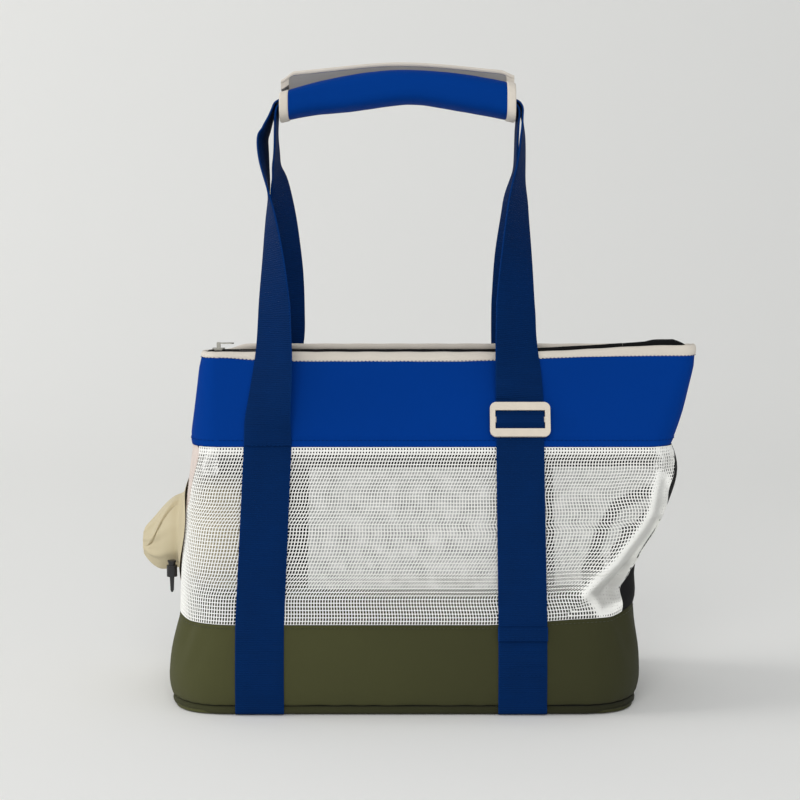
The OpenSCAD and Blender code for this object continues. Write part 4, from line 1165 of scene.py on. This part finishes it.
# the handles' webbing as (x, y, z, turn), from the bag up to the wrap, through it and down again
FRONT_LEFT = [(web_x(LEFT_WEB, SEWN_TOP), -half_d(205.6) - LAYER1 - 1.5, 205.6, 0), (-109, -38.9, 214, 4),
    (-109, -37.9, 225, 12), (-107.5, -35.2, 241, 22), (-105.5, -31, 262, 31), (-104.4, -28.6, 278, 37),
    (-104, -27.6, 292, 41), (-103.8, -27, 308, 44)]
FRONT_RIGHT = [(RIGHT_WEB, -half_d(ROOT_Z - 2) - LAYER2, ROOT_Z - 2, 180), (91.4, -29.6, 252, 174),
    (91, -26.8, 262, 168), (89.8, -25.3, 278, 157), (89, -26, 292, 152), (88.8, -26.5, 308, 149)]
REAR_LEFT = [(web_x(LEFT_WEB, ROOT_Z), -half_d(ROOT_Z - 2) - LAYER2, ROOT_Z - 2, 0), (-107.8, -29.6, 252, 6),
    (-106, -27.4, 262, 14), (-101, -26.4, 278, 28), (-98.5, -26.4, 292, 34), (-97.5, -26.5, 308, 40)]
REAR_RIGHT = [(RIGHT_WEB, -half_d(205.6) - LAYER1 - 1.5, 205.6, 180), (91.8, -38.8, 214, 176),
    (91.3, -37.3, 225, 170), (90.5, -34, 241, 162), (89.5, -30.4, 262, 155), (88.8, -28.4, 278, 150),
    (88.3, -27.2, 292, 148), (88, -26.5, 308, 146)]
FRONT_LOOP = [(-104.1, -24.5, 322, 48), (-105, -20.5, 352, 60), (-107, -16, 384, 74), (-109.3, -12, 408, 88),
    (-112.6, -7.5, 430, 97), (-113.4, -4, 447, 99), (-110.5, -2.8, 456, 96), (-107, -2, 465, 92),
    (-105, -WEB_Y, 471, 90), (-103, -WEB_Y, 475.6, 90), (-99.5, -WEB_Y, 478.2, 90), (-95, -WEB_Y, 479.4, 90),
    *in_wrap(2.4), (84, -WEB_Y, 479.4, 90), (88.5, -WEB_Y, 478.2, 90), (92, -WEB_Y, 475.6, 90),
    (93.8, -WEB_Y, 471, 90), (94.6, -2.2, 464, 93), (95, -3, 456, 96), (94.8, -4, 447, 99),
    (93.9, -7, 431, 102), (92.2, -10, 415, 108), (91.2, -12.5, 400, 116), (90.4, -15, 384, 122),
    (89.5, -19.5, 352, 134), (88.7, -24, 322, 145)]
REAR_LOOP = [(-97.2, -24.4, 330, 44), (-97.5, -21, 352, 50), (-99, -16.5, 384, 60), (-101.5, -12, 412, 72),
    (-103.6, -9.6, 425, 83), (-103.6, -7.4, 436, 87), (-103.4, -4, 448, 90), (-102.8, -0.6, 460, 90),
    (-102.2, WEB_Y, 468, 90), (-101.2, WEB_Y, 472.3, 90), (-99, WEB_Y, 475.2, 90), (-96, WEB_Y, 476.6, 90),
    *((x, WEB_Y, z, t) for x, y, z, t in in_wrap(0.65)), (85, WEB_Y, 476.6, 90), (88, WEB_Y, 475.2, 90),
    (90.2, WEB_Y, 472.3, 90), (91, WEB_Y, 468, 90), (90.6, 0, 460, 90), (90.3, -1.8, 452, 90),
    (90.2, -4.4, 444, 90), (90, -7.5, 431, 90), (89.4, -9.6, 421, 91), (87.6, -12, 409, 97),
    (87, -14, 398, 105), (87.2, -16, 384, 113), (87.6, -20, 352, 132), (87.8, -24.3, 322, 142)]


def strap(name, left, loop, right, rear, rep):
    pts = left + loop + right[::-1]
    if rear:
        pts = [(x, -WEB_Y if abs(y) == WEB_Y else -y, z, t) for x, y, z, t in pts]
    ob = ribbon(name, spline(pts, 6), None, rep, side=-1 if rear else 1)
    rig.blend(ob, "bag", "handles", start=(0, 0, ROOT_Z * MM), end=(0, 0, FREE_Z * MM))


strap("front_strap", FRONT_LEFT, FRONT_LOOP, FRONT_RIGHT, False, ("front_handle", "front_strap_roots"))
strap("rear_strap", REAR_LEFT, REAR_LOOP, REAR_RIGHT, True, ("rear_handle", "rear_strap_roots"))

LEAN = degrees(atan((BAND_D - MOUTH_D) / (MOUTH_Z - BAND_Z)))


def adjuster_web(name, x, side, body, rep):
    """The wave of webbing over the slide's middle bar, lying on the sloping band."""
    bar_t, foot = 2.2, ADJ_H / 2 - 6.5
    low, top = WEB_T / 2, bar_t + SEAT + WEB_T / 2
    half = [(foot, low), (4.6, (low + top) / 2), (2.6, top), (0, top + 0.3)]
    path = spline(half + [(-h, t) for h, t in half[2::-1]], 4)
    origin = Vector((x, side * (half_d(ADJ_Z) + LAYER2), ADJ_Z))
    out = Vector((0, side * cos(LEAN), sin(LEAN)))
    upward = Vector((0, -side * sin(LEAN), cos(LEAN)))
    pts = [tuple(origin + out * (WEB_T / 2 + SEAT + t) + upward * h) + (0,) for h, t in path]
    ribbon(name, pts, body, rep, side=-side, cut=None)


adjuster_web("front_slide_web", RIGHT_WEB, -1, "front_slide", ("front_adjuster_web",))
adjuster_web("rear_slide_web", web_x(LEFT_WEB, ADJ_Z), 1, "rear_slide", ("rear_adjuster_web",))

# ---- Handle wrap ----
POW = 2 / 3.2


def angle_at(y):
    return degrees(acos((y / WRAP_D) ** (1 / POW)))


OPEN_AT = 180 - angle_at(3)


def tube_at(a, out):
    """A place on the wrap's rounded section, as (y, z)."""
    c, s = cos(a), sin(a)
    return ((WRAP_D + out) * copysign(abs(c) ** POW, c), (WRAP_H + out) * copysign(abs(s) ** POW, s))


def along(x):
    return (x - WRAP_MID) / (WRAP_LEN / 2)


def press(x):
    """The share of its height that the wrap's top keeps."""
    return 0.98 - (0.48 * abs(along(x)) ** 1.25 if x < WRAP_MID else 0)


def hang(x, up):
    """How far the wrap's lower half hangs."""
    return (1.3 * bump(x, -45, 22) - 2.8 * bump(x, 8, 26)) * ease(-up / 6)


def rise(x):
    """How far the flap's top stands above its plain section."""
    drop = 5.8 if x < WRAP_MID else 3.2
    return ease((x + 60) / 60) + 4.2 * along(x) ** 4 - drop * ease((abs(along(x)) - 0.88) / 0.12)


def on_front(x, z):
    return arch(x) + z * (press(x) if z > 0 else 1) - hang(x, z)


def on_flap(x, z):
    return arch(x) + z - hang(x, z) + rise(x) * ease((z - 6) / 8)


def sweep(name, section, x0, x1, n, mat, body, rep, crease=0.0, place=on_front):
    """A length of the wrap with a section of (y, z), whose height place(x, z) bends."""
    rows = []
    for i, x in enumerate(steps(x0, x1, n)):
        e = 0.98 if i in (0, n) else 1
        creases = [crease * wave(x * 0.16 + k * 0.35, k * 0.9) for k in range(len(section))]
        rows.append([(x, (y + 0.4 * c) * e, place(x, z * e) + c) for (y, z), c in zip(section, creases)])
    return loft(name, rows, mat, body, rep, sharp=60)


def tube_arc(a0, a1, out, n):
    return [tube_at(a, out) for a in steps(a0, a1, n)]


def half_tube(a0, a1, out, inset, n=26):
    return tube_arc(a0, a1, out, n) + tube_arc(a1, a0, -inset, n)


BODY_L, BODY_R, LIP = WRAP_L0 + 6.4, WRAP_R0 - 6.4, WRAP_H + 2
FRONT_END, REAR_START, REAR_END = 269.9, 270.1, 440


def flap_section(grow, lip_out, lip_in):
    """The rear half of the wrap, which grow makes larger for the binding, and the lip where it closes."""
    inner = -WRAP_T - (0.3 if grow else 0)
    return [*tube_arc(REAR_START, REAR_END, grow, 30), *lip_out, *lip_in,
        *tube_arc(REAR_END, REAR_START, inner, 30)]


pad = sweep("wrap_front", half_tube(OPEN_AT, FRONT_END, 0, WRAP_T), BODY_L, BODY_R, 90, BLUE_WRAP, "handles",
    ("wrap_pad",), 0.25)
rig.padded(pad, 0.6)
flap = sweep("wrap_rear", flap_section(0, [(3.8, WRAP_H + 0.5), (3.3, LIP)], [(1, LIP), (1.2, WRAP_H - 2.4)]),
    BODY_L, BODY_R, 90, BLUE_WRAP, "wrap_door", ("wrap_flap",), 0.25, on_flap)
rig.padded(flap, 0.6)
for which, body, rep, section, place in (("front", "handles", "wrap_end_binding",
        half_tube(OPEN_AT - 0.3, FRONT_END, 0.8, WRAP_T + 0.3), on_front),
        ("rear", "wrap_door", "flap_end_binding", flap_section(0.8, [(4.4, WRAP_H + 0.9), (4, LIP)],
        [(0.9, LIP), (1.1, WRAP_H - 2.6)]), on_flap)):
    for side, x0, x1 in (("left", WRAP_L0, BODY_L + 0.5), ("right", BODY_R - 0.5, WRAP_R0)):
        sweep(f"wrap_{which}_{side}_binding", section, x0, x1, 8, CREAM, body, (rep,), place=place)
sweep("wrap_piping", [(2.3 + 1.9 * cos(a), LIP + 1.4 + 1.8 * sin(a)) for a in range(0, 360, 30)], WRAP_L0,
    WRAP_R0, 110, CREAM, "wrap_door", ("flap_piping",), place=on_flap)
sweep("wrap_hook", [(y, z) for y, zs in ((0.75, (6, 11, LIP - 0.2)), (0.1, (LIP - 0.2, 11, 6))) for z in zs],
    BODY_L, BODY_R, 60, HOOK, "wrap_door", ("wrap_hook_tape",), place=on_flap)
sweep("wrap_loop", half_tube(OPEN_AT + 3, OPEN_AT + 28, -WRAP_T - SEAT, WRAP_T + SEAT + 0.8, 6), BODY_L,
    BODY_R, 60, LOOP, "handles", ("wrap_loop_tape",))

# ---- Head opening ----
# rings of the collar: distance out, height of the middle, half height, half depth, depth of the gathers,
# and the angle above the front at which the cloth is creased
SLEEVE = [(1.6, 130, 44, 44, 0, 70), (2.3, 130, 41, 41, 0, 68), (3.2, 130, 36, 36, 0, 66),
    (5, 130, 31, 31, 0.2, 62), (10, 128.5, 29.5, 30.5, 0.3, 55), (16, 125.5, 27.5, 29, 0.5, 45),
    (21, 123, 24.5, 26, 0.8, 31), (25.5, 121.4, 20.4, 22, 1.1, 14), (29.8, 120.8, 16, 17.5, 1.2, 2),
    (33.4, 120.8, 12.4, 12.8, 0.9, -8), (35.4, 120.8, 9.6, 9.8, 0.6, -16),
    (35.2, 120.8, 7.4, 7.6, 0.5, -20), (33.4, 120.8, 6.6, 6.8, 0.4, -20)]
SLEEVE_TURNS, INNER_TURNS = 240, 96


def sleeve_place(ring, j, depth):
    out, mid, tall, deep, gather, crease = ring
    a = 360 * j / SLEEVE_TURNS
    off = (a - crease) % 360 - 180
    fold = gather * (cos(GATHERS * a) + 0.35 * cos(GATHERS * 2 * a + 40))
    fold += between(out, 4, 8, 34, 6) * (3.2 * exp(-abs(off) / 16) - 3.4 * bump(off, -3, 3.2))
    y, z = (deep - depth + fold) * cos(a), mid - (tall - depth + fold) * sin(a)
    q = out - depth * ease((out - 24) / 8)
    return (mix(side_x(y, z), left_end(HEAD_Z), clamp((q - 2) / 10)) - q, y, z)


collar = shell("gathered_collar", *layers(spline(SLEEVE, 5), range(SLEEVE_TURNS), sleeve_place, (0, 1.0)),
    BEIGE, "bag", ("head_collar",), wrap=True)
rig.sheet(collar, flat=(0.207, 0.056), held="gathered", rests_on=["left_panel"])

# rings of the collar's lining inside the bag, as (distance in, radius)
LINER = [(-6, 43), (0, 43.5), (8, 45), (20, 47), (34, 47), (48, 44), (58, 40)]


def liner_place(ring, j, depth):
    inwards, r = ring
    a = 360 * j / INNER_TURNS
    q = r - depth + 1.6 * wave(a * 0.12, inwards * 0.1) + 1.2 * cos(GATHERS * a) * ease(inwards / 30)
    y, z = q * cos(a), HEAD_Z + q * sin(a)
    return (max(side_x(y, z) + 2.2, left_end(HEAD_Z) + 3 + inwards), y, z - 0.1 * max(0, inwards))


liner = shell("collar_inside", *layers(LINER, range(INNER_TURNS), liner_place, (0, 0.7)), BEIGE, "bag",
    wrap=True)
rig.sheet(liner, flat=(0.3, 0.068), held="gathered", rests_on=["left_panel"])

# ---- Stitching and trim placed by sight ----
def tree_of(names):
    dg = bpy.context.evaluated_depsgraph_get()
    verts, faces = [], []
    for name in names:
        ob = bpy.data.objects[name]
        ev = ob.evaluated_get(dg)
        me = ev.to_mesh()
        k = len(verts)
        verts += [ob.matrix_world @ v.co for v in me.vertices]
        faces += [[k + i for i in f.vertices] for f in me.polygons]
        ev.to_mesh_clear()
    return BVHTree.FromPolygons(verts, faces), verts


def on_view(x, y, tree, verts):
    """The place that the image point (x, y) shows, or the one nearest to its line of sight."""
    start = cam.matrix_world.translation
    way = (cam.matrix_world.to_3x3() @ Vector((x - IMAGE / 2, IMAGE / 2 - y, -SIGHT))).normalized()
    hit = tree.ray_cast(start, way)[0]
    return hit or min(verts, key=lambda v: (v - start - way * (v - start).dot(way)).length)


def marks_along(path, long, gap):
    """The ends of the stitches along a path of (point, normal)."""
    marks, gone, goal = [], 0.0, gap
    for (a, na), (b, nb) in zip(path, path[1:]):
        step = (b - a).length
        while goal <= gone + step:
            t = (goal - gone) / max(step, 1e-9)
            marks.append((a.lerp(b, t), na.lerp(nb, t).normalized()))
            goal += long if len(marks) % 2 else gap
        gone += step
    return marks


def stitches(name, runs, mat, long=2.4, gap=1.0, r=0.26):
    """Rows of thread on the bag: each run is a list of (point, normal) in millimetres."""
    verts, faces = [], []
    for run in runs:
        marks = marks_along(run, long, gap)
        for (a, na), (b, _) in zip(marks[::2], marks[1::2]):
            side = (b - a).normalized().cross(na).normalized()
            k = len(verts)
            for t, q in ((0, 0.25), (0.25, 1), (0.75, 1), (1, 0.25)):
                c = a.lerp(b, t) + na * (0.15 + (0.12 if 0 < t < 1 else -0.05))
                verts += [tuple(c + side * r * q * cos(g) + na * r * q * sin(g)) for g in (0, 90, 180, 270)]
            for i in range(0, 12, 4):
                for j in range(4):
                    j2 = (j + 1) % 4
                    faces.append((k + i + j, k + i + j2, k + i + 4 + j2, k + i + 4 + j))
            faces += [(k, k + 1, k + 2, k + 3), (k + 12, k + 13, k + 14, k + 15)]
    add(name, verts, faces, mat, "bag")


def ring_run(place, inset):
    """A run of (point, normal) all round the bag through place(p, inset)."""
    run = []
    for p in around(14, 90) + [8.0]:
        a, b = Vector(place(p, inset)), Vector(place(p, inset + 1))
        run.append((a, (a - b).normalized()))
    return run


stitches("band_stitching", [ring_run(lambda p, inset: band_point(209.2, p, inset), -0.25)], THREAD_BLUE)
stitches("base_stitching", [ring_run(lambda p, inset: base_point(67.6, p, inset), 0)], THREAD_OLIVE)
stitches("binding_stitching", [ring_run(lambda p, inset: binding_at(p, -50, -inset), 0)], THREAD_NAVY,
    long=1.7, gap=1.4, r=0.34)


def tack(name, point, carrier, half, apart):
    """Two stitch rows across a strap, half long each way from the image point, one above and one below."""
    tree, verts = tree_of([carrier])
    at = on_view(*POINTS[point], tree, verts)
    runs = []
    for up in (-apart, apart):
        near = [tree.find_nearest(at + Vector((t, 0, up)) * MM) for t in steps(-half, half, 24)]
        runs.append([(hit[0] / MM, hit[1]) for hit in near])
    stitches(name, runs, THREAD_NAVY)


tack("left_strap_tack_rows", "left_strap_tack", "front_strap", 14.5, 2)
tack("tail_tack_rows", "tail_hem", "front_tail_web", 17, 3.6)
tack("right_strap_tack_rows", "right_strap_tack", "right_webbing_sewn", 16.3, 3.2)

# ---- Floor, light and background ----
def stage_material(name, rgb):
    mat = bpy.data.materials.new(name)
    mat.use_nodes = True
    inputs = mat.node_tree.nodes["Principled BSDF"].inputs
    for socket, value in (("Base Color", srgb(*rgb)), ("Roughness", 0.95), ("Specular IOR Level", 0.1)):
        inputs[socket].default_value = value
    return mat


# the paper as (y, z) in metres: the floor, a quarter circle up from it, and the wall
COVE = 1.2
PAPER = [(-3.0, 0), (-1.0, 0), (0.5, 0), (COVE, 0),
    *((COVE + COVE * sin(a), COVE - COVE * cos(a)) for a in range(10, 91, 8)), (2 * COVE, 3.5)]
rows = [[(x / MM, y / MM, z / MM) for x in (-5, -2, 0, 2, 5)] for y, z in PAPER]
faces, uvs = grid_parts(rows)
backdrop = add("backdrop", [p for r in rows for p in r], faces, stage_material("pale_paper",
    (241, 241, 239)), None, uvs=uvs, closed=False)
PIECES.remove("backdrop")
backdrop.location.z = -0.3 * MM
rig.stage(backdrop)

world = bpy.data.worlds.new("studio")
bpy.context.scene.world = world
world.use_nodes = True
background = world.node_tree.nodes["Background"]
background.inputs["Color"].default_value = (0.97, 0.985, 1, 1)
background.inputs["Strength"].default_value = 0.475


def lamp(name, at, look_at, power, tint):
    data = bpy.data.lights.new(name, "AREA")
    data.shape, data.size, data.energy, data.color = "DISK", 2.4, power, tint
    ob = bpy.data.objects.new(name, data)
    ob.location = at
    ob.rotation_euler = (Vector(look_at) - Vector(at)).to_track_quat("-Z", "Y").to_euler()
    bpy.context.scene.collection.objects.link(ob)


lamp("side", (-4.2, 0.0, 2.45), (0, 0, 0.15), 78, (1, 0.985, 0.96))
lamp("front", (-0.2, -3.0, 1.7), (0, 0, 0.2), 46, (1, 0.99, 0.975))
bpy.context.scene.view_settings.view_transform = "Standard"

# ---- Where the image points have come to ----
def project(v):
    """The image place of a place in the scene."""
    q = TO_CAMERA @ v
    k = SIGHT / -q.z
    return IMAGE / 2 + q.x * k, IMAGE / 2 - q.y * k


def shown(names, tree, box):
    """Image places of the vertices of these pieces that nothing hides."""
    out, start = [], cam.matrix_world.translation
    for name in names:
        _, verts = tree_of([name])
        for v in verts[::max(1, len(verts) // 4000)]:
            way = v - start
            hit, _, _, d = tree.ray_cast(start, way.normalized())
            if hit is None or d > way.length - 1.2 * MM:
                x, y = project(v)
                if not box or (box[0] <= x <= box[2] and box[1] <= y <= box[3]):
                    out.append((x, y))
    return out


def write_points():
    """Writes how far each named place lies from its image point."""
    tree, verts = tree_of(PIECES)
    xs, ys = zip(*(project(v) for v in verts))
    got = {"object_left": (min(xs), None), "object_right": (max(xs), None),
        "object_top": (None, min(ys)), "object_bottom": (None, max(ys))}

    def extreme(name, dx, dy, box=None):
        return max(shown([name], tree, box), key=lambda p: p[0] * dx + p[1] * dy)

    def middle(names, box=None):
        xs, ys = zip(*shown(names, tree, box))
        return (min(xs) + max(xs)) / 2, (min(ys) + max(ys)) / 2

    def near(key, dx, dy):
        x, y = POINTS[key]
        return (x - dx, y - dy, x + dx, y + dy)

    got["zip_slider"] = middle(kept("zip_slider", "zip_pull"))
    got["band_bottom_left"] = extreme("blue_band", -1, 1.5)
    got["band_bottom_right"] = extreme("blue_band", 0.4, 2)
    got["mouth_right_end"] = extreme("mouth_binding", 1, 0)
    got["adjuster"] = middle(kept("front_adjuster"))
    got["tail_hem"] = middle(["front_tail_web"], near("tail_hem", 45, 10.5))
    got["wrap_blue_top_left"] = extreme("wrap_front", -1.5, -1)
    got["wrap_blue_bottom_right"] = extreme("wrap_front", 1, 1)
    collar_box = (0, 0, POINTS["object_left"][0] + 32, IMAGE)
    got["collar_bottom"] = (None, extreme("gathered_collar", 0, 1, collar_box)[1])
    for key in ("left_strap_tack", "right_strap_tack"):
        got[key] = middle([key + "_rows"])
    for key, web in (("left_strap_at_base", "left_webbing_sewn"), ("right_strap_at_base", "front_tail_web")):
        got[key] = (middle([web], near(key, 60, 24))[0], None)
    report = {k: [None if w is None or g is None else round(g - w, 1) for g, w in zip(got[k], POINTS[k])]
        for k in POINTS}
    with open("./points.json", "w") as f:
        json.dump(report, f, indent=1)


try:
    write_points()
except Exception as e:
    print("points.json wasn't written:", e)
with open("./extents.json", "w") as f:
    json.dump({"cad": [list(v) for v in CAD_BOX], "visual": [list(v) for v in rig.bounds()]}, f)
